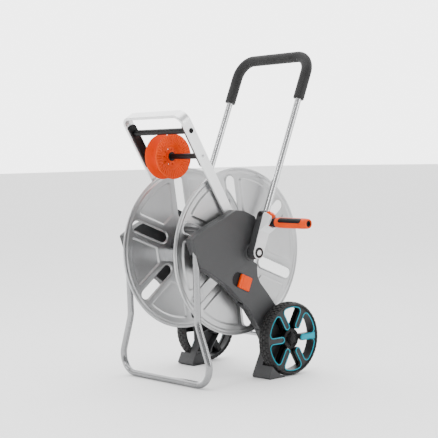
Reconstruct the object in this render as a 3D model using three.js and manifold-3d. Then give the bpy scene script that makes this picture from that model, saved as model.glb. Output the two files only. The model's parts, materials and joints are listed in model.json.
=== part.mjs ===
// Garden hose reel cart. Millimetres, +Z up, -Y the front, +X the crank side.
// The pieces are drawn with X = 0 in the middle of the drum and Y = 0 on the drum axis;
// the group is then moved so that its origin is the middle of the bottom of its box.
import * as THREE from "three";
import { mergeVertices } from "three/addons/utils/BufferGeometryUtils.js";
import Module from "manifold-3d";

const wasm = await Module();
wasm.setup();

// ---------------------------------------------------------------- driving dimensions
const ORIGIN_SHIFT = [-73, -23.4, 0];
const FIT = 0.3; // gap between pieces that touch

const DRUM_Z = 342;
const FLANGE_RADIUS = 225;
const FLANGE_X = [105.2, 106.8];
const FLANGE_BORE = 10.2;
const SLOT_COUNT = 6;
const SLOT_START = 22; // degrees from the front toward the top
const SLOT_RADII = [80, 207];
const SLOT_WIDTH = 28;
const LIP_X = 108.8;
const PANEL_X = 108.6;
const PANEL_INNER = 103;
const PANEL_RADIUS = 199;
const PANEL_AWAY = 31.5; // from the middle of a slot to the side of the panel beside it
const SLOT_LIP = 5;

const CORE_HALF_LENGTH = 104.9;
const CORE_RADII = [52, 58];
const BAR_RADIUS = 86;
const BAR_WIDTH = 37;
const BAR_DEPTH = 12;
const BAR_WALL = 2;
const BAR_ANGLES = [-9.5, 110.5, 230.5];
const SHAFT_RADIUS = 9.7;
const SHAFT_X = [-152, 182];
const WATER_BORE = 6;
const NIPPLE_X = -60;

const CHEEK_X = [123.9, 154];
const SPLIT_X = 139;
const SKIN = 3;
const BEARING_RADII = [10, 14];
const BOSS_RADIUS = 22;
const BOSS_X = 160;

const TUBE_RADIUS = 9;
const TUBE_WALL = 1.3;
const BORE_RADIUS = 9.35;
const HANDLE_X = 139.7;
const HANDLE_LEAN = 23.08;
const HANDLE_TOP = [256.6, 871.9];
const HANDLE_BOTTOM_Z = 232;
const HANDLE_BEND = 50;
const FOAM_RADIUS = 15.2;
const FOAM_END = 131.2; // down the arm from the top bar

const FOOT_TOP = [141, -181.4, 371.5];
const FOOT_KINK_Z = 167.5;
const FOOT_BASE = [201, -175.5, 9];

const WHEEL_Y = 120.3;
const WHEEL_Z = 100.1;
const WHEEL_RADIUS = 99.6;
const AXLE_RADIUS = 6;
const WHEEL_CLEARANCE = 104;
const LEG_X = [123.9, 149.5];

const BAIL_LOWER = [-134, 599.8];
const BAIL_LEAN = 30.4;
const BOLT_SPACING = 75.6;
const BAIL_X = [115.5, 123.5];
const BAIL_WIDTH = 30;
const BAIL_TOP = 50; // from the upper bolt to the middle of the top strap
const BAIL_FOOT = 232; // from the lower bolt down to the end of the arm
const FOOT_HOLE = 18; // from the end of the arm up to its screw
const PULLEY_X = -17.8;

const CRANK_LEAN = 21.5;
const ARM_X = [160.5, 183.7];
const COVER_X = [184, 187];
const ARM_LENGTH = 115;
const PIN_AT = [173, 101]; // X, and distance along the arm
const GRIP_AT = 85; // distance along the arm
const GRIP_X = [224.5, 340];

const LATCH_CENTRE = [-22.5, 262.6];
const LATCH_SIZE = [40, 37];
const SLOT_REACH = [-22.5, 46]; // the latch's slot, along the latch's travel

// ---------------------------------------------------------------- colours
const SILVER = 0xb9bcbf;
const STEEL = 0xc9cbcd;
const ALUMINIUM = 0xe8e9ea;
const DARK = 0x4b4d50;
const BLACK = 0x1d1e20;
const LIGHT_GREY = 0xc6c8c9;
const ORANGE = 0xf2571b;
const TEAL = 0x1fa3b5;

// ---------------------------------------------------------------- directions
const rad = (degrees) => (degrees * Math.PI) / 180;
const vec = (x, y, z) => new THREE.Vector3(x, y, z);
const AXIS_X = vec(1, 0, 0);
// Up along the pushing handle, and square to it toward the front.
const HANDLE_UP = vec(0, Math.sin(rad(HANDLE_LEAN)), Math.cos(rad(HANDLE_LEAN)));
const HANDLE_FRONT = vec(0, -HANDLE_UP.z, HANDLE_UP.y);
// Up along the bail arms, and square to them toward the rear.
const BAIL_UP = vec(0, -Math.sin(rad(BAIL_LEAN)), Math.cos(rad(BAIL_LEAN)));
const BAIL_REAR = vec(0, BAIL_UP.z, -BAIL_UP.y);
// Outward along the crank arm, and square to it toward the front.
const ARM_OUT = vec(0, Math.sin(rad(CRANK_LEAN)), Math.cos(rad(CRANK_LEAN)));
const ARM_FRONT = vec(0, -ARM_OUT.z, ARM_OUT.y);
const DRUM = vec(0, 0, DRUM_Z);

// ---------------------------------------------------------------- solids from geometry
function solidFrom(positions, indices) {
  const kept = [];
  for (let i = 0; i < indices.length; i += 3) {
    const [a, b, c] = [indices[i], indices[i + 1], indices[i + 2]];
    if (a !== b && b !== c && a !== c) {
      kept.push(a, b, c);
    }
  }
  const build = (triVerts) =>
    new wasm.Manifold(new wasm.Mesh({ numProp: 3, vertProperties: positions, triVerts }));
  const made = build(new Uint32Array(kept));
  if (made.volume() >= 0) {
    return made;
  }
  for (let i = 0; i < kept.length; i += 3) {
    [kept[i + 1], kept[i + 2]] = [kept[i + 2], kept[i + 1]];
  }
  return build(new Uint32Array(kept));
}

function solidOf(geometry) {
  const bare = geometry.index ? geometry.toNonIndexed() : geometry.clone();
  bare.deleteAttribute("normal");
  bare.deleteAttribute("uv");
  const merged = mergeVertices(bare, 1e-4);
  return solidFrom(merged.attributes.position.array, merged.index.array);
}

// The triangles of a solid; with `flip` they are mirrored to the other side of the cart.
function geometryOf(solid, flip) {
  const mesh = solid.getMesh();
  const count = mesh.numVert;
  const positions = new Float32Array(count * 3);
  const side = flip ? -1 : 1;
  for (let i = 0; i < count; i += 1) {
    const [x, y, z] = mesh.vertProperties.subarray(i * mesh.numProp, i * mesh.numProp + 3);
    positions.set([side * x, y, z], i * 3);
  }
  const indices = new Uint32Array(mesh.triVerts);
  if (flip) {
    indices.reverse();
  }
  const geometry = new THREE.BufferGeometry();
  geometry.setAttribute("position", new THREE.BufferAttribute(positions, 3));
  geometry.setIndex(new THREE.BufferAttribute(indices, 1));
  const flat = geometry.toNonIndexed();
  flat.computeVertexNormals();
  return flat;
}

function union(...solids) {
  return solids.reduce((sum, next) => sum.add(next));
}

function minus(solid, ...cutters) {
  return cutters.reduce((rest, cutter) => rest.subtract(cutter), solid);
}

// A flat outline drawn on the axes u and v at the point `origin`, pushed out along w.
function slab(outline, origin, u, v, w, depth, hole) {
  const shape = new THREE.Shape(outline.map(([a, b]) => new THREE.Vector2(a, b)));
  if (hole) {
    shape.holes.push(new THREE.Path(hole.map(([a, b]) => new THREE.Vector2(a, b))));
  }
  const geometry = new THREE.ExtrudeGeometry(shape, { depth, bevelEnabled: false });
  const matrix = new THREE.Matrix4().makeBasis(u, v, w);
  matrix.setPosition(origin);
  return solidOf(geometry.applyMatrix4(matrix));
}

// An outline in Y and Z between two planes of X.
function prism(outline, [from, to], hole) {
  return slab(outline, vec(from, 0, 0), vec(0, 1, 0), vec(0, 0, 1), AXIS_X, to - from, hole);
}

function block(x, y, z) {
  return prism([[y[0], z[0]], [y[1], z[0]], [y[1], z[1]], [y[0], z[1]]], x);
}

// A box between ranges along three axes, from a point.
function tiltedBlock(origin, u, v, w, us, vs, ws) {
  const outline = [[us[0], vs[0]], [us[1], vs[0]], [us[1], vs[1]], [us[0], vs[1]]];
  return slab(outline, origin.clone().addScaledVector(w, ws[0]), u, v, w, ws[1] - ws[0]);
}

// A profile of [radius, distance along the axis] turned round an axis.
function turned(profile, segments, origin, axis) {
  const closed = profile[0][0] > 0 ? [...profile, profile[0]] : profile;
  const points = closed.map(([radius, along]) => new THREE.Vector2(radius, along));
  const geometry = new THREE.LatheGeometry(points, segments);
  const turn = new THREE.Quaternion().setFromUnitVectors(vec(0, 1, 0), axis);
  geometry.applyQuaternion(turn);
  geometry.translate(origin.x, origin.y, origin.z);
  return solidOf(geometry);
}

function rod(radius, from, to, segments = 16, origin = DRUM, axis = AXIS_X) {
  return turned([[0, from], [radius, from], [radius, to], [0, to]], segments, origin, axis);
}

function pipe(inner, outer, from, to, segments = 16, origin = DRUM, axis = AXIS_X) {
  const profile = [[inner, from], [outer, from], [outer, to], [inner, to]];
  return turned(profile, segments, origin, axis);
}

// Rounds the corners of an outline of [a, b, radius] points.
function rounded(points, step = 30) {
  const out = [];
  const count = points.length;
  points.forEach(([x, y, radius = 0], i) => {
    const corner = new THREE.Vector2(x, y);
    const before = new THREE.Vector2(...points[(i + count - 1) % count].slice(0, 2)).sub(corner);
    const after = new THREE.Vector2(...points[(i + 1) % count].slice(0, 2)).sub(corner);
    const room = 0.48 * Math.min(before.length(), after.length());
    before.normalize();
    after.normalize();
    const half = Math.acos(THREE.MathUtils.clamp(before.dot(after), -1, 1)) / 2;
    const turn = Math.PI - 2 * half;
    if (radius <= 0 || turn < rad(12)) {
      out.push([x, y]);
      return;
    }
    const reach = Math.min(radius / Math.tan(half), room);
    const used = reach * Math.tan(half);
    const middle = before.clone().add(after).normalize();
    const centre = corner.clone().addScaledVector(middle, used / Math.sin(half));
    const start = corner.clone().addScaledVector(before, reach).sub(centre);
    const sign = Math.sign(before.clone().negate().cross(after));
    const steps = Math.max(1, Math.ceil(turn / rad(step)));
    for (let k = 0; k <= steps; k += 1) {
      const at = start.clone().rotateAround(new THREE.Vector2(), (sign * turn * k) / steps);
      out.push([centre.x + at.x, centre.y + at.y]);
    }
  });
  return out;
}

// The outline of corner points moved inward by `distance`; the points run counter-clockwise.
function inset(points, distance) {
  const count = points.length;
  return points.map(([x, y, radius = 0], i) => {
    const [px, py] = points[(i + count - 1) % count];
    const [nx, ny] = points[(i + 1) % count];
    const first = new THREE.Vector2(x - px, y - py).normalize();
    const second = new THREE.Vector2(nx - x, ny - y).normalize();
    const left = new THREE.Vector2(-first.y - second.y, first.x + second.x);
    const scale = distance / (1 + first.dot(second));
    return [x + left.x * scale, y + left.y * scale, Math.max(0.5, radius - distance)];
  });
}

function stadium(from, to, halfWidth, steps = 8) {
  const out = [];
  for (let k = 0; k <= steps; k += 1) {
    const angle = rad(-90) + (Math.PI * k) / steps;
    const across = halfWidth * Math.sin(angle);
    out.push([to - halfWidth + halfWidth * Math.cos(angle), across]);
  }
  for (let k = 0; k <= steps; k += 1) {
    const angle = rad(90) + (Math.PI * k) / steps;
    const across = halfWidth * Math.sin(angle);
    out.push([from + halfWidth + halfWidth * Math.cos(angle), across]);
  }
  return out;
}

function circle(radius, count) {
  const at = (k) => (2 * Math.PI * k) / count;
  return Array.from({ length: count }, (_, k) => [
    radius * Math.cos(at(k)),
    radius * Math.sin(at(k)),
  ]);
}

// A line through corner points with a bend of the given radius at each inner corner.
function bentPath(corners, bends, step = 12) {
  const path = [corners[0].clone()];
  for (let i = 1; i < corners.length - 1; i += 1) {
    const before = corners[i - 1].clone().sub(corners[i]).normalize();
    const after = corners[i + 1].clone().sub(corners[i]).normalize();
    const half = before.angleTo(after) / 2;
    const turn = Math.PI - 2 * half;
    const start = corners[i].clone().addScaledVector(before, bends[i - 1] / Math.tan(half));
    const middle = before.clone().add(after).normalize();
    const centre = corners[i].clone().addScaledVector(middle, bends[i - 1] / Math.sin(half));
    const axis = vec(0, 0, 0).crossVectors(before.clone().negate(), after).normalize();
    const steps = Math.max(2, Math.ceil(turn / rad(step)));
    for (let k = 0; k <= steps; k += 1) {
      const arm = start.clone().sub(centre).applyAxisAngle(axis, (turn * k) / steps);
      path.push(arm.add(centre));
    }
  }
  path.push(corners[corners.length - 1].clone());
  return path;
}

// A profile of [along the normal, along the side] carried down a flat path; with a second
// profile of as many points inside it the bar is hollow and open at both ends.
function swept(path, normal, profile, inside) {
  const positions = [];
  const indices = [];
  const count = profile.length;
  const rings = (outline) => {
    const base = positions.length / 3;
    path.forEach((point, i) => {
      const into = i > 0 ? point.clone().sub(path[i - 1]).normalize() : null;
      const out = i < path.length - 1 ? path[i + 1].clone().sub(point).normalize() : null;
      const along = into && out ? into.clone().add(out).normalize() : into || out;
      const side = vec(0, 0, 0).crossVectors(along, normal).normalize();
      const stretch = into && out ? 1 / into.dot(along) : 1;
      outline.forEach(([a, b]) => {
        const at = point.clone().addScaledVector(normal, a).addScaledVector(side, b * stretch);
        positions.push(at.x, at.y, at.z);
      });
    });
    return base;
  };
  const walls = (base, flip) => {
    for (let i = 0; i < path.length - 1; i += 1) {
      for (let j = 0; j < count; j += 1) {
        const a = base + i * count + j;
        const b = base + i * count + ((j + 1) % count);
        const quad = flip
          ? [a, b + count, b, a, a + count, b + count]
          : [a, b, b + count, a, b + count, a + count];
        indices.push(...quad);
      }
    }
  };
  const outer = rings(profile);
  walls(outer, false);
  const last = (path.length - 1) * count;
  if (inside) {
    const inner = rings(inside);
    walls(inner, true);
    for (let j = 0; j < count; j += 1) {
      const k = (j + 1) % count;
      indices.push(outer + j, inner + k, outer + k, outer + j, inner + j, inner + k);
      const [o, n] = [outer + last, inner + last];
      indices.push(o + j, o + k, n + k, o + j, n + k, n + j);
    }
  } else {
    const flat = profile.map(([a, b]) => new THREE.Vector2(a, b));
    THREE.ShapeUtils.triangulateShape(flat, []).forEach(([a, b, c]) => {
      indices.push(outer + a, outer + c, outer + b);
      indices.push(outer + last + a, outer + last + b, outer + last + c);
    });
  }
  return solidFrom(new Float32Array(positions), indices);
}

// ---------------------------------------------------------------- the group
const root = new THREE.Group();
root.position.set(...ORIGIN_SHIFT);

function add(name, solid, colour, metalness = 0, roughness = 0.6, flip = false) {
  const material = new THREE.MeshStandardMaterial({ color: colour, metalness, roughness });
  const mesh = new THREE.Mesh(geometryOf(solid, flip), material);
  mesh.name = name;
  root.add(mesh);
  return mesh;
}

function addPair(name, right, colour, metalness, roughness) {
  return [
    add(name + "_right", right, colour, metalness, roughness),
    add(name + "_left", right, colour, metalness, roughness, true),
  ];
}

// ---------------------------------------------------------------- drum
const polar = (radius, degrees) => [
  -radius * Math.cos(rad(degrees)),
  radius * Math.sin(rad(degrees)),
];

// A raised panel half-way between two slots; its sides run beside the slots.
function panelOutline(direction) {
  const turn = 180 / SLOT_COUNT;
  const nearHalf = (PANEL_INNER * Math.sin(rad(turn)) - PANEL_AWAY) / Math.cos(rad(turn));
  const nearRadius = Math.hypot(PANEL_INNER, nearHalf);
  const nearAngle = THREE.MathUtils.radToDeg(Math.atan2(nearHalf, PANEL_INNER));
  const farAngle = turn - THREE.MathUtils.radToDeg(Math.asin(PANEL_AWAY / PANEL_RADIUS));
  const corners = [
    [PANEL_RADIUS, -farAngle, 14],
    [PANEL_RADIUS, -farAngle / 3, 0],
    [PANEL_RADIUS, farAngle / 3, 0],
    [PANEL_RADIUS, farAngle, 14],
    [nearRadius, nearAngle, 8],
    [nearRadius, -nearAngle, 8],
  ];
  const points = corners.map(([radius, at, corner]) => [...polar(radius, direction + at), corner]);
  return rounded(points, 50).map(([y, z]) => [y, z + DRUM_Z]);
}

function flangeSolid() {
  const [inner, outer] = FLANGE_X;
  const middle = (inner + outer) / 2;
  const edge = FLANGE_RADIUS;
  const profile = [
    [FLANGE_BORE, inner],
    [edge - 7, inner],
    [edge - 4, inner - 2],
    [edge, inner - 0.4],
    [edge, outer + 0.4],
    [edge - 4, outer + 2],
    [edge - 7, outer],
    [FLANGE_BORE, outer],
  ];
  let solid = turned(profile, 48, DRUM, AXIS_X);
  const half = SLOT_WIDTH / 2;
  for (let k = 0; k < SLOT_COUNT; k += 1) {
    const angle = SLOT_START + (360 / SLOT_COUNT) * k;
    const out = vec(0, ...polar(1, angle));
    const side = vec(0, ...polar(1, angle + 90));
    const place = (outline, from, to) =>
      slab(outline, vec(from, 0, DRUM_Z), out, side, AXIS_X, to - from);
    const lip = stadium(SLOT_RADII[0] - SLOT_LIP, SLOT_RADII[1] + SLOT_LIP, half + SLOT_LIP, 4);
    const panel = panelOutline(angle + 180 / SLOT_COUNT);
    solid = union(solid, place(lip, middle, LIP_X), prism(panel, [middle, PANEL_X]));
    solid = minus(solid, place(stadium(...SLOT_RADII, half, 4), inner - 5, LIP_X + 5));
  }
  return solid;
}
addPair("flange", flangeSolid(), SILVER, 0.6, 0.5);

function coreSolid() {
  const [inner, outer] = CORE_RADII;
  const end = CORE_HALF_LENGTH;
  const profile = [
    [inner, -end],
    [outer, -end],
    [outer, end],
    [inner, end],
    [inner, 4],
    [SHAFT_RADIUS + 6, 6],
    [SHAFT_RADIUS + 6, 30],
    [SHAFT_RADIUS + FIT, 30],
    [SHAFT_RADIUS + FIT, -30],
    [SHAFT_RADIUS + 6, -30],
    [SHAFT_RADIUS + 6, -6],
    [inner, -4],
  ];
  const shell = turned(profile, 24, DRUM, AXIS_X);
  const hole = rod(9.5, 40, 70, 12, vec(NIPPLE_X, 0, DRUM_Z), vec(0, 0, -1));
  return minus(shell, hole);
}
add("drum_core", coreSolid(), DARK);

BAR_ANGLES.forEach((angle, i) => {
  const half = BAR_WIDTH / 2;
  const [low, high] = [BAR_RADIUS - BAR_DEPTH, BAR_RADIUS];
  const section = [
    [low, -half],
    [high - 2, -half],
    [high, -half + 2],
    [high, half - 2],
    [high - 2, half],
    [low, half],
    [low, half - BAR_WALL],
    [high - BAR_WALL, half - BAR_WALL],
    [high - BAR_WALL, -half + BAR_WALL],
    [low, -half + BAR_WALL],
  ];
  const out = vec(0, ...polar(1, angle));
  const side = vec(0, ...polar(1, angle + 90));
  const origin = vec(-CORE_HALF_LENGTH, 0, DRUM_Z);
  const bar = slab(section, origin, out, side, AXIS_X, 2 * CORE_HALF_LENGTH);
  add(`core_bar_${i + 1}`, bar, STEEL, 0.7, 0.4);
});

const shaft = minus(
  rod(SHAFT_RADIUS, ...SHAFT_X),
  rod(WATER_BORE, SHAFT_X[0] - 5, -50, 20),
  rod(4, 0, 20, 12, vec(NIPPLE_X, 0, DRUM_Z), vec(0, 0, -1)),
);
add("drum_shaft", shaft, DARK);

const nipple = turned(
  [
    [4, 10.2],
    [8, 10.2],
    [8, 14],
    [6.5, 15],
    [6.5, 60],
    [8, 62],
    [6.6, 66],
    [8, 68],
    [6.4, 74],
    [4, 74],
  ],
  12,
  vec(NIPPLE_X, 0, DRUM_Z),
  vec(0, 0, -1),
);
add("hose_nipple", nipple, BLACK);

// ---------------------------------------------------------------- cheeks
const CHEEK_TOP = [
  [-202, 387, 5],
  [-178, 316, 4],
  [-145.5, 298.1, 40],
  [-111.5, 277.1, 40],
  [-77, 253.2, 40],
  [-49.1, 226.9, 40],
  [-31.7, 209.3, 40],
  [-6.8, 188.1, 30],
  [36, 129.8, 0.5],
  [97, 188, 0.5],
  [57.3, 233.1, 40],
  [36, 257, 20],
  [26, 275, 15],
  [25, 297, 4],
  [27.2, 307.5, 3],
  [11.2, 317.5, 2],
  [17, 324, 6],
  [23, 342, 12],
  [18.5, 366, 6],
  [23.5, 435, 12],
  [-18, 452.5, 30],
  [-47, 456.3, 12],
  [-86.1, 439.6, 60],
  [-158, 412.5, 60],
];
const LEG = [
  [36.6, 129.3, 0.5],
  [54, 95, 12],
  [54.5, 64.7, 20],
  [26, 7, 4],
  [28, 0, 2],
  [86, 0, 4],
  [100, 40, 20],
  [140, 95, 30],
  [135, 142, 20],
  [97.5, 187.6, 0.5],
];
const FLARE = [
  [31, 0, 2],
  [86, 0, 0],
  [86, 40, 0],
  [43, 40, 0],
  [25, 5, 5],
];
const LEG_WEB = 3.2;

const wheelAxis = vec(0, WHEEL_Y, WHEEL_Z);
const handleBore = rod(BORE_RADIUS, -100, 700, 16, pointOnHandle(0), HANDLE_UP);
const footUp = vec(...FOOT_TOP).sub(vec(FOOT_TOP[0], FOOT_BASE[1], FOOT_BASE[2])).normalize();
const footBore = rod(BORE_RADIUS, -90, 0.5, 16, vec(...FOOT_TOP), footUp);

// A point on the right handle tube, measured up from its lower end.
function pointOnHandle(along) {
  const drop = (HANDLE_TOP[1] - HANDLE_BOTTOM_Z) / HANDLE_UP.z;
  const y = HANDLE_TOP[0] - drop * HANDLE_UP.y;
  return vec(HANDLE_X, y, HANDLE_BOTTOM_Z).addScaledVector(HANDLE_UP, along);
}

// What both halves of a cheek hold inside: the handle guides, the foot socket and the boss.
function cheekInside(xs) {
  const filled = prism(rounded(CHEEK_TOP), xs);
  const guide = (from, to) =>
    tiltedBlock(pointOnHandle(0), AXIS_X, HANDLE_FRONT, HANDLE_UP, [-20, 20], [-12, 12], [from, to])
      .intersect(filled);
  const socket = block(xs, [-215, -165], [346, 376]).intersect(filled);
  const wall = block(xs, [-168, -165], [280, 350]).intersect(filled);
  const boss = prism(circle(18.5, 16).map(([y, z]) => [y, z + DRUM_Z]), xs);
  return union(guide(66, 100), guide(-60, -12), socket, wall, boss);
}

function cheekCuts() {
  const recess = block([CHEEK_X[0] + SKIN, CHEEK_X[1] - SKIN], [-230, -168], [290, 346]);
  const bearing = rod(BEARING_RADII[1] + FIT, CHEEK_X[0] - 5, BOSS_X - 2);
  const shaftHole = rod(BEARING_RADII[0] + FIT, CHEEK_X[0] - 5, BOSS_X + 5);
  return [handleBore, footBore, recess, bearing, shaftHole];
}

function cheekOuter() {
  const [from, to] = [SPLIT_X + FIT / 2, CHEEK_X[1]];
  const body = prism(rounded(CHEEK_TOP), [from, to]);
  const pocket = prism(rounded(inset(CHEEK_TOP, SKIN)), [from - 5, to - SKIN]);
  const boss = rod(BOSS_RADIUS, to - SKIN, BOSS_X, 24);
  const cone = turned(
    [[0, 149.6], [WHEEL_CLEARANCE, 149.6], [160, 154.02], [160, 170], [0, 170]],
    36,
    wheelAxis,
    AXIS_X,
  );
  const thick = prism(rounded(CHEEK_TOP), [to - SKIN - 4.4, to - SKIN + 0.5]).intersect(
    turned([[0, 100], [168, 100], [168, 200], [0, 200]], 36, wheelAxis, AXIS_X),
  );
  const slot = slab(
    latchSlot(),
    vec(to - SKIN - 5, ...LATCH_CENTRE),
    HANDLE_FRONT,
    HANDLE_UP,
    AXIS_X,
    20,
  );
  const shell = minus(body, pocket);
  const filled = union(shell, thick, cheekInside([from, to - SKIN + 0.5]), boss);
  return minus(filled, cone, slot, ...cheekCuts());
}

function latchSlot() {
  const half = LATCH_SIZE[1] / 2 + 0.4;
  return rounded([
    [SLOT_REACH[0], -half, 2],
    [SLOT_REACH[1], -half, half],
    [SLOT_REACH[1], half, half],
    [SLOT_REACH[0], half, 2],
  ]);
}

function cheekInner() {
  const [from, to] = [CHEEK_X[0], SPLIT_X - FIT / 2];
  const body = prism(rounded(CHEEK_TOP), [from, to]);
  const pocket = prism(rounded(inset(CHEEK_TOP, SKIN)), [from + SKIN, to + 5]);
  const legOutline = rounded(LEG);
  const leg = prism(legOutline, LEG_X);
  const legPocket = prism(rounded(inset(LEG, LEG_WEB)), [LEG_X[0] - 5, LEG_X[1] - LEG_WEB]);
  const axleBoss = rod(16, LEG_X[0], LEG_X[1] - 1, 16, wheelAxis);
  const rib = (y, z, turn) => {
    const along = vec(0, Math.cos(rad(turn)), Math.sin(rad(turn)));
    const across = vec(0, -along.z, along.y);
    const sheet = tiltedBlock(vec(0, y, z), AXIS_X, across, along, LEG_X, [-1.4, 1.4], [-90, 90]);
    return sheet.intersect(leg);
  };
  const flare = prism(rounded(FLARE), [129, 190]);
  const clearance = rod(WHEEL_CLEARANCE, LEG_X[1], 200, 40, wheelAxis);
  const axleHole = rod(AXLE_RADIUS + FIT, 100, 200, 16, wheelAxis);
  const shell = union(minus(body, pocket), cheekInside([from, to]));
  const ribs = union(rib(92, 100, 20), rib(80, 30, 0), rib(85, 150, -25));
  const lower = union(minus(leg, legPocket), axleBoss, ribs);
  const [seamStart, seamEnd] = [CHEEK_TOP[8], CHEEK_TOP[9]];
  const seam = vec(0, seamEnd[0] - seamStart[0], seamEnd[1] - seamStart[1]).normalize();
  const seamSide = vec(0, -seam.z, seam.y);
  const origin = vec(0, seamStart[0], seamStart[1]);
  const join = tiltedBlock(origin, AXIS_X, seamSide, seam, [from, to], [-4, 4], [2, 82]);
  const whole = union(shell, lower, join, minus(flare, clearance));
  return minus(whole, axleHole, ...cheekCuts());
}

addPair("cheek_outer", cheekOuter(), DARK);
addPair("cheek_inner", cheekInner(), DARK);

const bearing = turned(
  [
    [BEARING_RADII[0], CHEEK_X[0] - 3],
    [18, CHEEK_X[0] - 3],
    [18, CHEEK_X[0] - FIT],
    [BEARING_RADII[1], CHEEK_X[0] - FIT],
    [BEARING_RADII[1], BOSS_X - 2.4],
    [BEARING_RADII[0], BOSS_X - 2.4],
  ],
  16,
  DRUM,
  AXIS_X,
);
addPair("bearing", bearing, BLACK);

// ---------------------------------------------------------------- latches
function latchSolid() {
  const origin = vec(0, ...LATCH_CENTRE);
  const [long, tall] = LATCH_SIZE.map((size) => size / 2);
  const face = rounded([[-long, -tall, 3], [long, -tall, 4], [long, tall, 4], [-long, tall, 3]], 30);
  const button = slab(face, origin.clone().setX(151), HANDLE_FRONT, HANDLE_UP, AXIS_X, 7.5);
  const stem = tiltedBlock(origin, HANDLE_FRONT, HANDLE_UP, AXIS_X, [-2, 4], [-4, 4], [136, 152]);
  const pad = tiltedBlock(origin, HANDLE_FRONT, HANDLE_UP, AXIS_X, [-8.4, -1], [-8, 8], [136, 143]);
  return minus(union(button, stem, pad), handleBore);
}
addPair("latch", latchSolid(), ORANGE);

const bedOutline = rounded([[-30, -24, 3], [52, -24, 3], [52, 24, 3], [-30, 24, 3]], 30);
const bedHole = [[-2.6, -4.6], [15, -4.6], [15, 4.6], [-2.6, 4.6]];
const latchBed = slab(
  bedOutline,
  vec(149.3, ...LATCH_CENTRE),
  HANDLE_FRONT,
  HANDLE_UP,
  AXIS_X,
  1.3,
  bedHole,
);
addPair("latch_bed", latchBed, BLACK);

// ---------------------------------------------------------------- pushing handle
function handlePath(from) {
  const top = vec(0, ...HANDLE_TOP);
  const corner = (side) => top.clone().setX(side * HANDLE_X);
  const end = (side) => corner(side).addScaledVector(HANDLE_UP, -from);
  return bentPath([end(-1), corner(-1), corner(1), end(1)], [HANDLE_BEND, HANDLE_BEND], 18);
}
const armLength = (HANDLE_TOP[1] - HANDLE_BOTTOM_Z) / HANDLE_UP.z;
const handleNormal = vec(0, -HANDLE_UP.z, HANDLE_UP.y);
const tubeSides = 12;
const handleTube = swept(
  handlePath(armLength),
  handleNormal,
  circle(TUBE_RADIUS, tubeSides),
  circle(TUBE_RADIUS - TUBE_WALL, tubeSides),
);
add("handle_tube", handleTube, STEEL, 0.8, 0.35);
const foam = swept(
  handlePath(FOAM_END),
  handleNormal,
  circle(FOAM_RADIUS, tubeSides),
  circle(TUBE_RADIUS + 0.5, tubeSides),
);
add("foam_grip", foam, BLACK, 0, 0.9);

// ---------------------------------------------------------------- front foot
function footSolid() {
  const base = vec(...FOOT_BASE);
  const top = vec(...FOOT_TOP);
  const slope = (top.y - base.y) / (top.z - base.z);
  const kink = vec(140, base.y + slope * (FOOT_KINK_Z - base.z), FOOT_KINK_Z);
  const flip = (v) => v.clone().setX(-v.x);
  const corners = [flip(top), flip(kink), flip(base), base, kink, top];
  const normal = vec(0, -1, slope).normalize();
  const path = bentPath(corners, [60, 48, 48, 60], 24);
  const inside = circle(TUBE_RADIUS - TUBE_WALL, tubeSides);
  return swept(path, normal, circle(TUBE_RADIUS, tubeSides), inside);
}
add("foot_tube", footSolid(), STEEL, 0.8, 0.35);

// ---------------------------------------------------------------- bail and hose guide
const lowerBolt = vec(0, ...BAIL_LOWER);
const upperBolt = lowerBolt.clone().addScaledVector(BAIL_UP, BOLT_SPACING);
const bailFoot = lowerBolt.clone().addScaledVector(BAIL_UP, -BAIL_FOOT + FOOT_HOLE);
const [UPPER_SHANK, LOWER_SHANK] = [4, 3];
const UPPER_BAR_RADIUS = 8;
const GUIDE_ROD_RADIUS = 7.5;
const strapThickness = BAIL_X[1] - BAIL_X[0];
const strapX = (BAIL_X[0] + BAIL_X[1]) / 2;

function bailSolid() {
  const top = (side) => upperBolt.clone().addScaledVector(BAIL_UP, BAIL_TOP).setX(side * strapX);
  const end = (side) => lowerBolt.clone().addScaledVector(BAIL_UP, -BAIL_FOOT).setX(side * strapX);
  const [w, t] = [BAIL_WIDTH / 2, strapThickness / 2];
  const section = [[-w, -t], [w, -t], [w, t], [-w, t]];
  const path = bentPath([end(-1), top(-1), top(1), end(1)], [25, 25], 12);
  const strap = swept(path, BAIL_REAR, section);
  const hole = (at, shank) => rod(shank + FIT, -140, 140, 12, at);
  const holes = union(hole(lowerBolt, LOWER_SHANK), hole(bailFoot, LOWER_SHANK));
  return minus(strap, hole(upperBolt, UPPER_SHANK), holes);
}
add("guide_bail", bailSolid(), ALUMINIUM, 0.6, 0.4);

function plateSolid() {
  const outline = rounded([
    [-30, -13, 10],
    [BOLT_SPACING + 24, -13, 10],
    [BOLT_SPACING + 24, 13, 10],
    [-30, 13, 10],
  ]);
  const [from, to] = [107.6, BAIL_X[0] - FIT];
  const plate = slab(outline, lowerBolt.clone().setX(from), BAIL_UP, BAIL_REAR, AXIS_X, to - from);
  const seat = (at, radius) => rod(radius + FIT, 100, to - 3, 16, at);
  const hole = (at, shank) => rod(shank + FIT, 100, 130, 12, at);
  const seats = union(seat(upperBolt, UPPER_BAR_RADIUS), seat(lowerBolt, GUIDE_ROD_RADIUS));
  return minus(plate, seats, hole(upperBolt, UPPER_SHANK), hole(lowerBolt, LOWER_SHANK));
}
addPair("guide_plate", plateSolid(), BLACK);

const barEnd = BAIL_X[0] - FIT - 3.3;
function guideBar(radius, at, shank) {
  const bar = rod(radius, -barEnd, barEnd, 16, at);
  const hole = (from, to) => rod(shank + FIT, from, to, 12, at);
  return minus(bar, hole(95, 130), hole(-130, -95));
}
add("guide_upper_bar", guideBar(UPPER_BAR_RADIUS, upperBolt, UPPER_SHANK), BLACK);
add("guide_rod", guideBar(GUIDE_ROD_RADIUS, lowerBolt, LOWER_SHANK), BLACK);

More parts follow.
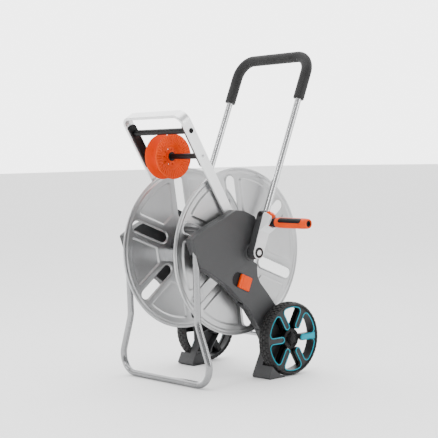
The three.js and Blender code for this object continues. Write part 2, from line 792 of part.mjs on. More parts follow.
function boltSolid(at, head, height, shank, reach) {
  const face = BAIL_X[1] + FIT;
  const profile = [
    [0, reach],
    [shank, reach],
    [shank, face],
    [head, face],
    [head, face + 0.5 * height],
    [0.7 * head, face + height],
    [0, face + height],
  ];
  return turned(profile, 12, at, AXIS_X);
}
addPair("bail_bolt_upper", boltSolid(upperBolt, 7, 3, UPPER_SHANK, 97), BLACK);
addPair("bail_bolt_lower", boltSolid(lowerBolt, 4, 2, LOWER_SHANK, 97), STEEL, 0.8, 0.35);

// ---------------------------------------------------------------- hose guide pulley
const PULLEY_HALF = [
  [9.5, 0.15],
  [28, 0.15],
  [30, 9],
  [37, 15],
  [47, 18.8],
  [60, 21.4],
  [60, 23.6],
  [45, 21.2],
  [34, 16.8],
  [26, 8.5],
  [15, 8.5],
  [13, 15],
  [9.5, 15],
];
const pulleyHalf = turned(PULLEY_HALF, 28, lowerBolt, AXIS_X);
addPair("pulley", pulleyHalf, ORANGE).forEach((mesh) => {
  mesh.position.x = PULLEY_X;
});
const pulleyBush = turned(
  [
    [7.8, -17.5],
    [12, -17.5],
    [12, -15.3],
    [9.2, -15.3],
    [9.2, 15.3],
    [12, 15.3],
    [12, 17.5],
    [7.8, 17.5],
  ],
  16,
  lowerBolt,
  AXIS_X,
);
add("pulley_bush", pulleyBush, BLACK).position.x = PULLEY_X;

// ---------------------------------------------------------------- wheels
const HUB_INNER_X = 154;
const AXLE_END = 184;
const FACE_X = [178, 186];
const SPOKE_X = [158, 168];
const SPOKE_HALF = 7;
const WINDOW_RADIUS = 84.5;
const FINGER_HALF = 9.6;
const FINGER_TIP = 30;
const FINGER_FILLET = 9;

// The edge of the wheel face's window: a ring with six fingers that point at the hub.
function windowEdge(grow) {
  const half = FINGER_HALF - grow;
  const ring = WINDOW_RADIUS + grow;
  const fillet = FINGER_FILLET + grow;
  const across = FINGER_HALF + FINGER_FILLET;
  const filletAt = Math.sqrt((WINDOW_RADIUS - FINGER_FILLET) ** 2 - across ** 2);
  const ringAngle = Math.atan2(across, filletAt);
  const tipAt = FINGER_TIP + FINGER_HALF;
  const out = [];
  for (let k = 0; k < 6; k += 1) {
    const turn = rad(60 * k);
    const put = (x, y) =>
      out.push([x * Math.cos(turn) - y * Math.sin(turn), x * Math.sin(turn) + y * Math.cos(turn)]);
    for (let s = 0; s <= 4; s += 1) {
      const angle = rad(-90 - 45 * s);
      put(tipAt + half * Math.cos(angle), half * Math.sin(angle));
    }
    for (let s = 0; s <= 2; s += 1) {
      const angle = rad(-90) + ((ringAngle + rad(90)) * s) / 2;
      put(filletAt + fillet * Math.cos(angle), across + fillet * Math.sin(angle));
    }
    put(ring * Math.cos(rad(30)), ring * Math.sin(rad(30)));
    for (let s = 2; s >= 0; s -= 1) {
      const angle = rad(-90) + ((ringAngle + rad(90)) * s) / 2;
      const [x, y] = [filletAt + fillet * Math.cos(angle), -across - fillet * Math.sin(angle)];
      const [c, n] = [Math.cos(rad(60)), Math.sin(rad(60))];
      put(x * c - y * n, x * n + y * c);
    }
  }
  return out;
}

const onWheel = ([y, z]) => [y + WHEEL_Y, z + WHEEL_Z];

function wheelHub() {
  const face = prism(circle(90, 36).map(onWheel), FACE_X, windowEdge(0).map(onWheel));
  const rimProfile = [
    [86, 156],
    [90, 156],
    [90, 187],
    [88.3, 187],
    [87.8, 182],
  ];
  const rim = turned(rimProfile, 36, wheelAxis, AXIS_X);
  const barrel = turned(
    [
      [AXLE_RADIUS + FIT, HUB_INNER_X],
      [18, HUB_INNER_X],
      [28, 166],
      [28, AXLE_END - 2],
      [14, AXLE_END - 2],
      [14, AXLE_END],
      [AXLE_RADIUS + FIT, AXLE_END],
    ],
    20,
    wheelAxis,
    AXIS_X,
  );
  let hub = union(face, rim, barrel);
  for (let k = 0; k < 6; k += 1) {
    const out = vec(0, Math.cos(rad(60 * k)), Math.sin(rad(60 * k)));
    const side = vec(0, -out.z, out.y);
    const width = [-SPOKE_HALF, SPOKE_HALF];
    hub = union(hub, tiltedBlock(wheelAxis, out, side, AXIS_X, [20, 88], width, SPOKE_X));
  }
  return hub;
}

function wheelAccent() {
  const [from, to] = [FACE_X[1] + FIT, FACE_X[1] + 1.4];
  const band = prism(windowEdge(2.6).map(onWheel), [from, to], windowEdge(0.4).map(onWheel));
  const tip = FINGER_TIP + 1;
  const half = FINGER_HALF - 1;
  const corners = [
    [tip, -half, half],
    [86, -half, 0],
    [86, half, 0],
    [tip, half, half],
  ];
  const finger = rounded(corners, 30).map(onWheel);
  const filled = prism(finger, [from, to]);
  return union(band, filled);
}

const tyre = turned(
  [
    [90.4, 156],
    [92.4, 152],
    [96.4, 154],
    [WHEEL_RADIUS, 164],
    [WHEEL_RADIUS, 178],
    [96.4, 187.6],
    [92.4, 190],
    [90.4, 186.4],
  ],
  40,
  wheelAxis,
  AXIS_X,
);
addPair("tyre", tyre, BLACK, 0, 0.9);
addPair("wheel_hub", wheelHub(), DARK);
addPair("wheel_accent", wheelAccent(), TEAL);
const wheelCap = turned(
  [
    [0, AXLE_END + FIT],
    [12, AXLE_END + FIT],
    [12, 187],
    [10, 188.6],
    [0, 189],
  ],
  16,
  wheelAxis,
  AXIS_X,
);
addPair("wheel_cap", wheelCap, BLACK);
add("wheel_axle", rod(AXLE_RADIUS, -AXLE_END, AXLE_END, 16, wheelAxis), STEEL, 0.8, 0.35);

// ---------------------------------------------------------------- crank
const pinCentre = DRUM.clone().addScaledVector(ARM_OUT, PIN_AT[1]).setX(PIN_AT[0]);
const gripCentre = DRUM.clone().addScaledVector(ARM_OUT, GRIP_AT);
const CAVITY_HALF = 10;
const PIN_RADIUS = 4;
const PIN_HEAD = 6.8;
const HUB_RING_RADII = [10.3, 14];
const SPINDLE_RADIUS = 5;
const FORK_HALF = 18;

// The crank's outline along and across the arm, ending at `end`.
function armOutline(end, corner) {
  const corners = [
    [-17, -17, 17],
    [end, -19, corner],
    [end, 19, corner],
    [-17, 17, 17],
  ];
  return rounded(corners, 22);
}

function armCuts() {
  const width = [-CAVITY_HALF, CAVITY_HALF];
  return [
    tiltedBlock(DRUM, AXIS_X, ARM_OUT, ARM_FRONT, [163, 225], [72, 125], width),
    rod(PIN_RADIUS + FIT, -30, 30, 16, pinCentre, ARM_FRONT),
    rod(PIN_HEAD + FIT, 16, 30, 16, pinCentre, ARM_FRONT),
  ];
}

function crankArm() {
  const [from, to] = ARM_X;
  const outline = armOutline(ARM_LENGTH, 15);
  const body = slab(outline, vec(from, 0, DRUM_Z), ARM_OUT, ARM_FRONT, AXIS_X, to - from);
  const shaftHole = rod(SHAFT_RADIUS + FIT, 150, 182.3);
  return minus(body, shaftHole, ...armCuts());
}
add("crank_arm", crankArm(), DARK);

// The pale outer cover of the arm with the fork that the grip folds in.
function crankCover() {
  const [from, to] = COVER_X;
  const outline = armOutline(ARM_LENGTH - 6, 9);
  const plate = slab(outline, vec(from, 0, DRUM_Z), ARM_OUT, ARM_FRONT, AXIS_X, to - from);
  const corners = [
    [from, 55, 0],
    [196, 64, 8],
    [209, 76, 8],
    [213, 88, 8],
    [209, 99, 6],
    [from, 109, 0],
  ];
  const origin = DRUM.clone().addScaledVector(ARM_FRONT, -FORK_HALF);
  const fork = slab(rounded(corners), origin, AXIS_X, ARM_OUT, ARM_FRONT, 2 * FORK_HALF);
  const capSeat = rod(HUB_RING_RADII[1] + FIT, 183, 190, 20);
  return minus(union(plate, fork), capSeat, ...armCuts());
}
add("crank_cover", crankCover(), LIGHT_GREY);

const hubSeatX = COVER_X[0] + FIT;
add("crank_hub_ring", pipe(...HUB_RING_RADII, hubSeatX, 188.2, 20), BLACK);
const hubCapProfile = [
  [0, hubSeatX],
  [10, hubSeatX],
  [10, 188],
  [9, 188.9],
  [0, 188.9],
];
const hubCap = turned(hubCapProfile, 20, DRUM, AXIS_X);
add("crank_hub_cap", hubCap, LIGHT_GREY);
const hingePin = turned(
  [
    [0, -17],
    [PIN_RADIUS, -17],
    [PIN_RADIUS, 16.3],
    [PIN_HEAD, 16.3],
    [PIN_HEAD, 19],
    [6, 19.6],
    [0, 19.6],
  ],
  16,
  pinCentre,
  ARM_FRONT,
);
add("crank_hinge_pin", hingePin, BLACK);

function hingeBlock() {
  const [px, pa] = PIN_AT;
  const outline = rounded([
    [px - 9, pa + 9.4, 8],
    [px - 9, pa - 9, 6],
    [px + 8, GRIP_AT - 11, 6],
    [204, GRIP_AT - 11, 0],
    [204, GRIP_AT + 18, 3],
    [px + 15, pa + 9.4, 4],
  ]);
  const origin = DRUM.clone().addScaledVector(ARM_FRONT, -9.6);
  const body = slab(outline, origin, AXIS_X, ARM_OUT, ARM_FRONT, 19.2);
  const pin = rod(PIN_RADIUS + FIT, -20, 20, 12, pinCentre, ARM_FRONT);
  const spindle = rod(SPINDLE_RADIUS + FIT, 188, 210, 12, gripCentre);
  return minus(body, pin, spindle);
}
add("hinge_block", hingeBlock(), ORANGE);

const collarProfile = [
  [SPINDLE_RADIUS + FIT, 204.4],
  [9.6, 204.4],
  [9.6, 216.8],
  [13.4, 217.4],
  [12.4, 224],
  [SPINDLE_RADIUS + FIT, 224],
];
const collar = turned(collarProfile, 20, gripCentre, AXIS_X);
add("grip_collar", collar, BLACK);
add("grip_spindle", rod(SPINDLE_RADIUS, 188.4, 330, 12, gripCentre), STEEL, 0.8, 0.35);

// The soft inlays face up and to the front, and the other way.
const INLAY_TURN = rad(15);
const INLAY_RADII = [11.7, 14.3];
const inlayOut = ARM_FRONT.clone()
  .multiplyScalar(Math.cos(INLAY_TURN))
  .addScaledVector(ARM_OUT, Math.sin(INLAY_TURN));

function inlay(side, grow, radii) {
  const outline = stadium(238 - grow, 322 + grow, 8 + grow, 3);
  const ring = pipe(...radii, 230, 330, 20, gripCentre);
  const out = inlayOut.clone().multiplyScalar(side);
  const across = out.clone().cross(AXIS_X);
  return slab(outline, gripCentre, AXIS_X, across, out, 20).intersect(ring);
}

function gripSleeve() {
  const profile = [
    [SPINDLE_RADIUS + FIT, GRIP_X[0]],
    [12.6, GRIP_X[0]],
    [13.8, GRIP_X[0] + 8],
    [14, 290],
    [13.6, 330],
    [11.6, GRIP_X[1]],
    [8.6, GRIP_X[1]],
    [8.6, 332],
    [SPINDLE_RADIUS + FIT, 332],
  ];
  const body = turned(profile, 20, gripCentre, AXIS_X);
  const seat = [INLAY_RADII[0] - FIT, 20];
  return minus(body, inlay(1, FIT, seat), inlay(-1, FIT, seat));
}
add("grip_sleeve", gripSleeve(), ORANGE);
add("grip_inlay_top", inlay(1, 0, INLAY_RADII), BLACK, 0, 0.8);
add("grip_inlay_bottom", inlay(-1, 0, INLAY_RADII), BLACK, 0, 0.8);
const endCapProfile = [
  [0, 332.3],
  [8.3, 332.3],
  [8.3, 335],
  [3, 335],
  [2, 334],
  [0, 334],
];
const endCap = turned(endCapProfile, 16, gripCentre, AXIS_X);
add("grip_end_cap", endCap, BLACK);

// ---------------------------------------------------------------- water inlet
const INLET_X = -178;
const INLET_BEND = 13;
const inletDown = vec(0, -Math.sin(rad(30)), -Math.cos(rad(30)));
const inletNormal = vec(0, inletDown.z, -inletDown.y);

function inletElbow() {
  const corner = vec(INLET_X, 0, DRUM_Z);
  const start = vec(-160.6, 0, DRUM_Z);
  const end = corner.clone().addScaledVector(inletDown, 52);
  const path = bentPath([start, corner, end], [INLET_BEND], 18);
  const spigotPath = [vec(-132, 0, DRUM_Z), vec(-163, 0, DRUM_Z)];
  const outside = swept(path, inletNormal, circle(11, 14));
  const spigot = swept(spigotPath, inletNormal, circle(5.7, 12));
  const longer = bentPath(
    [vec(-120, 0, DRUM_Z), corner, corner.clone().addScaledVector(inletDown, 60)],
    [INLET_BEND],
    18,
  );
  return minus(union(outside, spigot), swept(longer, inletNormal, circle(3.6, 8)));
}
add("inlet_elbow", inletElbow(), LIGHT_GREY);
const connector = turned(
  [
    [11.3, 27],
    [14.5, 27],
    [16, 30],
    [16, 44],
    [14.5, 48],
    [14.5, 62],
    [12.8, 64],
    [8, 64],
    [8, 52.4],
    [11.3, 52.4],
  ],
  16,
  vec(INLET_X, 0, DRUM_Z),
  inletDown,
);
add("inlet_connector", connector, ORANGE);

// ---------------------------------------------------------------- screws of the bail
const bailScrew = turned(
  [[0, 111.8], [6, 111.8], [6, 115.2], [3, 115.2], [3, 123.6], [0, 123.6]],
  12,
  bailFoot,
  AXIS_X,
);
addPair("bail_screw", bailScrew, STEEL, 0.8, 0.35);

export default root;
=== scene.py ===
"""Looks of the garden hose reel cart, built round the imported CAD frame."""

import json
import math

import bmesh
import bpy
from mathutils import Matrix, Vector
from mathutils.geometry import delaunay_2d_cdt


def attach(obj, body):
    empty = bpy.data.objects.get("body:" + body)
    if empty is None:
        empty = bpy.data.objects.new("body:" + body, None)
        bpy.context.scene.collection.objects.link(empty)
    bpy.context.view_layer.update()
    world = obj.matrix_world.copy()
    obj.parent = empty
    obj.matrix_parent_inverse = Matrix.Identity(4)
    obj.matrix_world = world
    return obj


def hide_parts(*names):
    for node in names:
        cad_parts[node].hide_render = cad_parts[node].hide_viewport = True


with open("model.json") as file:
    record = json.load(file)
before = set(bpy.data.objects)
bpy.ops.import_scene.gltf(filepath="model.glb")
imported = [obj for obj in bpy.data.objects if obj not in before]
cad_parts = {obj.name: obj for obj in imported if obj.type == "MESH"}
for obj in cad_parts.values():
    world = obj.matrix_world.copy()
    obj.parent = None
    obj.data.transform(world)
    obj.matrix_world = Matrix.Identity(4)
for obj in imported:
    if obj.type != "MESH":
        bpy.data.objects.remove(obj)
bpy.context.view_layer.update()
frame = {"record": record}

# ------------------------------------------------------------------ places taken from the frame
# Pieces are drawn in millimetres with X = 0 in the middle of the drum, Y = 0 on the drum axis
# and Z = 0 on the floor, and are then moved to the frame.
MM = 0.001
LOOK = "_look"
JOINTS = {joint["name"]: joint for joint in frame["record"]["behaviour"]["joints"]}
DRUM_JOINT = Vector(JOINTS["drum_turn"]["pos_m"])
ORIGIN = Vector((DRUM_JOINT.x, DRUM_JOINT.y, 0))


def place(name):
    """A joint's position in millimetres."""
    return (Vector(JOINTS[name]["pos_m"]) - ORIGIN) / MM


def in_middle(point):
    return Vector((0, point.y, point.z))


def square_to(along):
    """The direction a quarter turn from one that lies across the cart's X axis."""
    return Vector((0, -along.z, along.y))


AXIS_X = Vector((1, 0, 0))
AXIS_Y = Vector((0, 1, 0))
AXIS_Z = Vector((0, 0, 1))
DRUM = place("drum_turn")
WHEEL = in_middle(place("wheel_right_turn"))
GUIDE_ROD = in_middle(place("pulley_turn"))
PULLEY_X = place("pulley_turn").x
PIN = place("crank_fold")
GRIP = in_middle(place("grip_spin"))
HANDLE_UP = Vector(JOINTS["handle_slide"]["axis"]).normalized()
HANDLE_FRONT = square_to(HANDLE_UP)
ARM_OUT = in_middle(PIN - DRUM).normalized()
ARM_FRONT = square_to(ARM_OUT)
BAIL_LEAN = math.radians(30.4)
BAIL_UP = Vector((0, -math.sin(BAIL_LEAN), math.cos(BAIL_LEAN)))
BAIL_REAR = Vector((0, BAIL_UP.z, -BAIL_UP.y))
BOLT_SPACING = 75.6
UPPER_BAR = GUIDE_ROD + BAIL_UP * BOLT_SPACING

# The axes of flat outlines: the outline's first and second, and the one it is pushed out along.
SIDE_FACE = (AXIS_Y, AXIS_Z, AXIS_X)
LATCH_FACE = (HANDLE_FRONT, HANDLE_UP, AXIS_X)
BAIL_FACE = (BAIL_UP, BAIL_REAR, AXIS_X)
ARM_FACE = (ARM_OUT, ARM_FRONT, AXIS_X)
ARM_SIDE = (AXIS_X, ARM_OUT, ARM_FRONT)


def spoke_axes(angle):
    """The axes of something that stands out from the X axis at an angle."""
    out = AXIS_Y * math.cos(angle) + AXIS_Z * math.sin(angle)
    return out, AXIS_X.cross(out), AXIS_X


# ------------------------------------------------------------------ flat outlines
TINY = 1e-6
SNAP = 1e-4
PARALLEL = 1e-9


def polar(radius, angle, centre=(0, 0)):
    return centre[0] + radius * math.cos(angle), centre[1] + radius * math.sin(angle)


def circle(radius, count, centre=(0, 0)):
    return [polar(radius, 2 * math.pi * k / count, centre) for k in range(count)]


def corner_sides(points, i):
    """Corner i of an outline, and the ways into it and out of it with their full lengths."""
    corner = Vector(points[i][:2])
    following = Vector(points[(i + 1) % len(points)][:2])
    return corner, corner - Vector(points[i - 1][:2]), following - corner


def rounded(points, step=8.0):
    """An outline of (a, b, radius) corners with its corners turned into arcs."""
    most = 0.48  # of the shorter side that an arc may take up
    out = []
    for i, (x, y, radius) in enumerate(points):
        corner, heading, after = corner_sides(points, i)
        room = most * min(heading.length, after.length)
        heading.normalize()
        after.normalize()
        before = -heading
        half = math.acos(max(-1, min(1, before.dot(after)))) / 2
        turn = math.pi - 2 * half
        if turn < math.radians(1):
            out.append((x, y))
            continue
        reach = min(radius / math.tan(half), room)
        used = reach * math.tan(half)
        centre = corner + (before + after).normalized() * (used / math.sin(half))
        arm = corner + before * reach - centre
        sign = 1 if heading.x * after.y - heading.y * after.x > 0 else -1
        steps = max(2, math.ceil(math.degrees(turn) / step))
        for k in range(steps + 1):
            angle = sign * turn * k / steps
            c, s = math.cos(angle), math.sin(angle)
            out.append((centre.x + arm.x * c - arm.y * s, centre.y + arm.x * s + arm.y * c))
    return out


def rectangle(ends, half, near, far, step=8.0):
    """A box outline along the first axis, with corner radii near at its start, far at its end."""
    a, b = ends
    corners = [(a, -half, near), (b, -half, far), (b, half, far), (a, half, near)]
    return rounded(corners, step)


def area(outline):
    return 0.5 * sum(
        outline[i - 1][0] * outline[i][1] - outline[i][0] * outline[i - 1][1]
        for i in range(len(outline))
    )


def counter_clockwise(outline):
    return list(outline) if area(outline) > 0 else list(reversed(outline))


def offset(outline, distance, sharpest=0.4):
    """A counter-clockwise outline moved inward by distance, point by point. sharpest keeps the
    tip of a sharp corner from running away."""
    out = []
    for i, (x, y, *_) in enumerate(outline):
        _, before, after = corner_sides(outline, i)
        if before.length < TINY:
            before = after
        if after.length < TINY:
            after = before
        before.normalize()
        after.normalize()
        scale = distance / max(sharpest, 1 + before.dot(after))
        out.append((x - (before.y + after.y) * scale, y + (before.x + after.x) * scale))
    return out


def inset(corners, distance):
    """Counter-clockwise corners with radii, moved inward by distance."""
    moved = offset(corners, distance, 0)
    return [(x, y, max(0.5, c[2] - distance)) for (x, y), c in zip(moved, corners)]


def stadium(start, end, half):
    """A slot outline along the first axis with full round ends."""
    steps = 14
    out = []
    for middle, first in ((end - half, -math.pi / 2), (start + half, math.pi / 2)):
        out += [polar(half, first + math.pi * k / steps, (middle, 0)) for k in range(steps + 1)]
    return out


def inside(point, outline):
    x, y = point
    hit = False
    for i in range(len(outline)):
        (x0, y0), (x1, y1) = outline[i - 1], outline[i]
        if (y0 > y) != (y1 > y) and x < (x1 - x0) * (y - y0) / (y1 - y0) + x0:
            hit = not hit
    return hit


def fill(loops, holes):
    """Triangles over the first loop, cut along the others and open at the loops named in holes.
    It gives the points, for each the index of the input point it came from, and the triangles."""
    points, edges = [], []
    for loop in loops:
        base = len(points)
        points += [Vector(p) for p in loop]
        edges += [(base + i, base + (i + 1) % len(loop)) for i in range(len(loop))]
    out, _, faces, source, _, _ = delaunay_2d_cdt(points, edges, [], 0, SNAP)
    kept = []
    for face in faces:
        middle = sum((out[i] for i in face), Vector((0, 0))) / len(face)
        if inside(middle, loops[0]) and not any(inside(middle, loops[h]) for h in holes):
            kept.append(list(face))
    return out, [s[0] if s else None for s in source], kept


# ------------------------------------------------------------------ building meshes
class Shell:
    """Points and faces of one piece, in millimetres."""

    def __init__(self):
        self.points = []
        self.faces = []

    def add(self, points, faces):
        base = len(self.points)
        self.points += [Vector(p) for p in points]
        self.faces += [[base + i for i in face] for face in faces]
        return self

    def join(self, *others):
        for other in others:
            self.add(other.points, other.faces)
        return self

    def grid(self, rows, closed_rows=False):
        """Rings of points joined by quads."""
        count = len(rows[0])
        faces = []
        for i in range(len(rows) if closed_rows else len(rows) - 1):
            a, b = i * count, ((i + 1) % len(rows)) * count
            for j in range(count):
                k = (j + 1) % count
                faces.append([a + j, a + k, b + k, b + j])
        return self.add([p for row in rows for p in row], faces)

    def lathe(self, profile, origin, segments, axis=AXIS_X, closed=False, ripple=None):
        """A profile of (radius, distance along the axis) turned round an axis. With closed, the
        profile joins its own start. ripple(k, i, radius, along) gives the radius and distance
        that point i of the profile has at turn k."""
        side = axis.orthogonal().normalized()
        up = axis.cross(side)
        rows = []
        for i, (radius, along) in enumerate(profile):
            row = []
            for k in range(segments):
                angle = 2 * math.pi * k / segments
                r, a = ripple(k, i, radius, along) if ripple else (radius, along)
                row.append(origin + axis * a + (side * math.cos(angle) + up * math.sin(angle)) * r)
            rows.append(row)
        return self.grid(rows, closed_rows=closed)

    def slab(
        self, outline, origin, axes, start, depth, holes=(), bevel=0.0, steps=3, back_bevel=None
    ):
        """A plate with rounded rims: an outline on the first two axes, which begins at start on
        the third and is pushed along it."""
        u, v, w = axes
        foot = origin + w * start
        back = bevel if back_bevel is None else back_bevel
        loops = [counter_clockwise(outline)] + [counter_clockwise(h) for h in holes]
        turns = [math.pi / 2 * k / steps for k in range(steps + 1)]
        low, high = [(0, 0)], [(0, depth)]
        if back > 0:
            low = [(back * (1 - math.sin(t)), back * (1 - math.cos(t))) for t in turns]
        if bevel > 0:
            high = [(bevel * (1 - math.cos(t)), depth - bevel * (1 - math.sin(t))) for t in turns]
        stack = low + high

        def lifted(points, height):
            return [foot + u * x + v * y + w * height for x, y in points]

        def narrowed(n, inward):
            return offset(loops[n], inward if n == 0 else -inward)

        for n in range(len(loops)):
            self.grid([lifted(narrowed(n, inward), height) for inward, height in stack])
        for inward, height in (stack[0], stack[-1]):
            caps = [narrowed(n, inward) for n in range(len(loops))]
            points, _, faces = fill(caps, range(1, len(caps)))
            self.add(lifted(points, height), faces)
        return self

    def sweep(self, path, normal, profile, hollow=None, blunt=0.0):
        """A profile of (along the normal, along the side) carried down a flat path. blunt rounds
        the outer rim of both ends."""

        def rings(outline):
            rows = []
            for i, point in enumerate(path):
                into = (point - path[i - 1]).normalized() if i else None
                out = (path[i + 1] - point).normalized() if i < len(path) - 1 else None
                along = (into + out).normalized() if into and out else (into or out)
                stretch = 1 / into.dot(along) if into and out else 1
                side = along.cross(normal).normalized()
                rows.append([point + normal * a + side * (b * stretch) for a, b in outline])
            return rows

        rows = rings(profile)
        if blunt:
            steps = 4
            size = max(abs(a) for a, _ in profile)
            rims = []
            for row, end, beside in ((rows[0], path[0], path[1]), (rows[-1], path[-1], path[-2])):
                inward = (beside - end).normalized()
                middle = sum(row, Vector()) / len(row)
                rim = []
                for k in range(steps):
                    angle = math.pi / 2 * k / steps
                    scale = 1 - blunt * (1 - math.sin(angle)) / size
                    shift = inward * (blunt * (1 - math.cos(angle)))
                    rim.append([middle + (p - middle) * scale + shift for p in row])
                rims.append(rim + [[p + inward * blunt for p in row]])
            rows = rims[0] + rows[1:-1] + rims[1][::-1]
        self.grid(rows)
        if hollow:
            inner = rings(hollow)
            self.grid(inner)
            self.grid([rows[0], inner[0]])
            self.grid([rows[-1], inner[-1]])
        else:
            for row in (rows[0], rows[-1]):
                self.add(row, [list(range(len(profile)))])
        return self


def bent_path(corners, bends, step):
    """A line through corners, with bends of the given radii in arcs of about step degrees."""
    path = [corners[0].copy()]
    for i in range(1, len(corners) - 1):
        before = (corners[i - 1] - corners[i]).normalized()
        after = (corners[i + 1] - corners[i]).normalized()
        half = before.angle(after) / 2
        turn = math.pi - 2 * half
        radius = bends[i - 1]
        start = corners[i] + before * (radius / math.tan(half))
        centre = corners[i] + (before + after).normalized() * (radius / math.sin(half))
        axis = (-before).cross(after).normalized()
        steps = max(3, math.ceil(math.degrees(turn) / step))
        for k in range(steps + 1):
            path.append(centre + Matrix.Rotation(turn * k / steps, 3, axis) @ (start - centre))
    path.append(corners[-1].copy())
    return path


WELD = 2e-6
CREASE = 32


def placed(name, data):
    made = bpy.data.objects.new(name, data)
    bpy.context.scene.collection.objects.link(made)
    return made


def mesh_of(name, shell):
    mesh = bpy.data.meshes.new(name)
    mesh.from_pydata([ORIGIN + p * MM for p in shell.points], [], shell.faces)
    work = bmesh.new()
    work.from_mesh(mesh)
    bmesh.ops.remove_doubles(work, verts=work.verts, dist=WELD)
    bmesh.ops.recalc_face_normals(work, faces=work.faces)
    work.to_mesh(mesh)
    work.free()
    return mesh


def on_body(name, mesh, body, nodes):
    """A piece that rides on a body and stands for CAD nodes."""
    piece = placed(name + LOOK, mesh)
    even = piece.modifiers.new("even_shading", "WEIGHTED_NORMAL")
    even.keep_sharp = True
    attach(piece, body)
    if nodes:
        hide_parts(*nodes)
    return piece


def finished(name, shell, body, look, smooth=CREASE, stands_in=True):
    """Turns a shell into a piece. It stands for the CAD node of its name, or is an extra."""
    mesh = mesh_of(name, shell)
    for polygon in mesh.polygons:
        polygon.use_smooth = True
    mesh.set_sharp_from_angle(angle=math.radians(smooth))
    mesh.materials.append(PAINT[look])
    return on_body(name, mesh, body, [name] if stands_in else [])


def apply_modifier(piece, name):
    """Bakes one modifier into the mesh and leaves the others on it."""
    others = [m for m in piece.modifiers if m.name != name]
    for m in others:
        m.show_viewport = False
    graph = bpy.context.evaluated_depsgraph_get()
    made = bpy.data.meshes.new_from_object(piece.evaluated_get(graph))
    piece.modifiers.remove(piece.modifiers[name])
    piece.data = made
    for m in others:
        m.show_viewport = True


def cut(piece, *shells):
    """Cuts shells out of a piece for good."""
    for shell in shells:
        cutter = placed("cutter", mesh_of("cutter", shell))
        gouge = piece.modifiers.new("cut", "BOOLEAN")
        gouge.operation = "DIFFERENCE"
        gouge.solver = "EXACT"
        gouge.object = cutter
        apply_modifier(piece, gouge.name)
        bpy.data.objects.remove(cutter)
    piece.data.set_sharp_from_angle(angle=math.radians(CREASE))


# ------------------------------------------------------------------ materials
def node(tree, kind, **values):
    """A new shader node with some inputs set. Underscores stand for spaces in their names."""
    made = tree.nodes.new("ShaderNode" + kind)
    for name, value in values.items():
        made.inputs[name.replace("_", " ")].default_value = value
    return made


def principled(name, colour, roughness, metallic=0.0, specular=0.5):
    """A material, its node tree and its shader's inputs."""
    paint = bpy.data.materials.new(name)
    paint.use_nodes = True
    shader = paint.node_tree.nodes["Principled BSDF"]
    shader.inputs["Base Color"].default_value = (*colour, 1)
    shader.inputs["Roughness"].default_value = roughness
    shader.inputs["Metallic"].default_value = metallic
    shader.inputs["Specular IOR Level"].default_value = specular
    return paint, paint.node_tree, shader.inputs


def noise(tree, scale, detail=3.0, stretch=(1, 1, 1)):
    mapping = node(tree, "Mapping", Scale=stretch)
    field = node(tree, "TexNoise", Scale=scale, Detail=detail)
    tree.links.new(node(tree, "TexCoord").outputs["Object"], mapping.inputs["Vector"])
    tree.links.new(mapping.outputs["Vector"], field.inputs["Vector"])
    return field.outputs["Fac"]


def ranged(tree, value, low, high, from_low=0.3, from_high=0.7):
    spread = node(tree, "MapRange", From_Min=from_low, From_Max=from_high, To_Min=low, To_Max=high)
    tree.links.new(value, spread.inputs["Value"])
    return spread.outputs["Result"]


def mixed(tree, factor, first, second):
    mix = tree.nodes.new("ShaderNodeMix")
    mix.data_type = "RGBA"
    tree.links.new(factor, mix.inputs["Factor"])
    for socket, value in (("A", first), ("B", second)):
        target = [s for s in mix.inputs if s.name == socket and s.type == "RGBA"][0]
        if isinstance(value, (tuple, list)):
            target.default_value = (*value, 1)
        else:
            tree.links.new(value, target)
    return [s for s in mix.outputs if s.type == "RGBA"][0]


def sharp_edge_highlight(tree, low=0.52, high=0.6):
    """High on sharp outer edges, where a painted highlight goes."""
    shape = node(tree, "NewGeometry")
    return ranged(tree, shape.outputs["Pointiness"], 0.0, 1.0, low, high)


def bumped(tree, inputs, height, strength, distance):
    bump = node(tree, "Bump", Strength=strength, Distance=distance)
    tree.links.new(height, bump.inputs["Height"])
    tree.links.new(bump.outputs["Normal"], inputs["Normal"])


def tinted(colour, factor):
    return tuple(min(1.0, c * factor) for c in colour)


def cloudy(tree, field, colour, darker, paler):
    """A colour that drifts between two of its tints."""
    return mixed(tree, ranged(tree, field, 0, 1), tinted(colour, darker), tinted(colour, paler))


def plastic(name, colour, roughness, edge_highlight=None, shine=0.5):
    """Moulded plastic: fine spark-eroded grain, slow changes of tone and a painted highlight that
    makes sharp edges paler.
    """
    paint, tree, inputs = principled(name, colour, roughness, specular=shine)
    slow = noise(tree, 14.0, 4.0)
    shade = cloudy(tree, slow, colour, 0.9, 1.1)
    # Painted highlight: sharp outer edges, in patches, take the paler highlight colour.
    highlight_mask = node(tree, "Math")
    highlight_mask.operation = "MULTIPLY"
    tree.links.new(sharp_edge_highlight(tree), highlight_mask.inputs[0])
    tree.links.new(ranged(tree, noise(tree, 240.0, 2.0), 0.1, 0.75), highlight_mask.inputs[1])
    highlight_colour = edge_highlight or tinted(colour, 1.5)
    tree.links.new(mixed(tree, highlight_mask.outputs[0], shade, highlight_colour), inputs["Base Color"])
    tree.links.new(ranged(tree, slow, roughness - 0.05, roughness + 0.07), inputs["Roughness"])
    bumped(tree, inputs, noise(tree, 1800.0, 2.0), 0.12, 0.0004)
    return paint


def metal(name, colour, roughness, metallic, stretch, grain, strength=0.05):
    """Drawn or rolled metal: fine streaks along one way, cloudy roughness and a few dull marks."""
    paint, tree, inputs = principled(name, colour, roughness, metallic=metallic)
    streak = noise(tree, grain, 3.0, stretch)
    shade = cloudy(tree, noise(tree, 9.0, 5.0), colour, 0.93, 1.05)
    dull = mixed(tree, ranged(tree, streak, 0, 0.25), shade, tinted(colour, 0.85))
    tree.links.new(dull, inputs["Base Color"])
    tree.links.new(ranged(tree, streak, roughness - 0.03, roughness + 0.05), inputs["Roughness"])
    bumped(tree, inputs, streak, strength, 0.0003)
    return paint


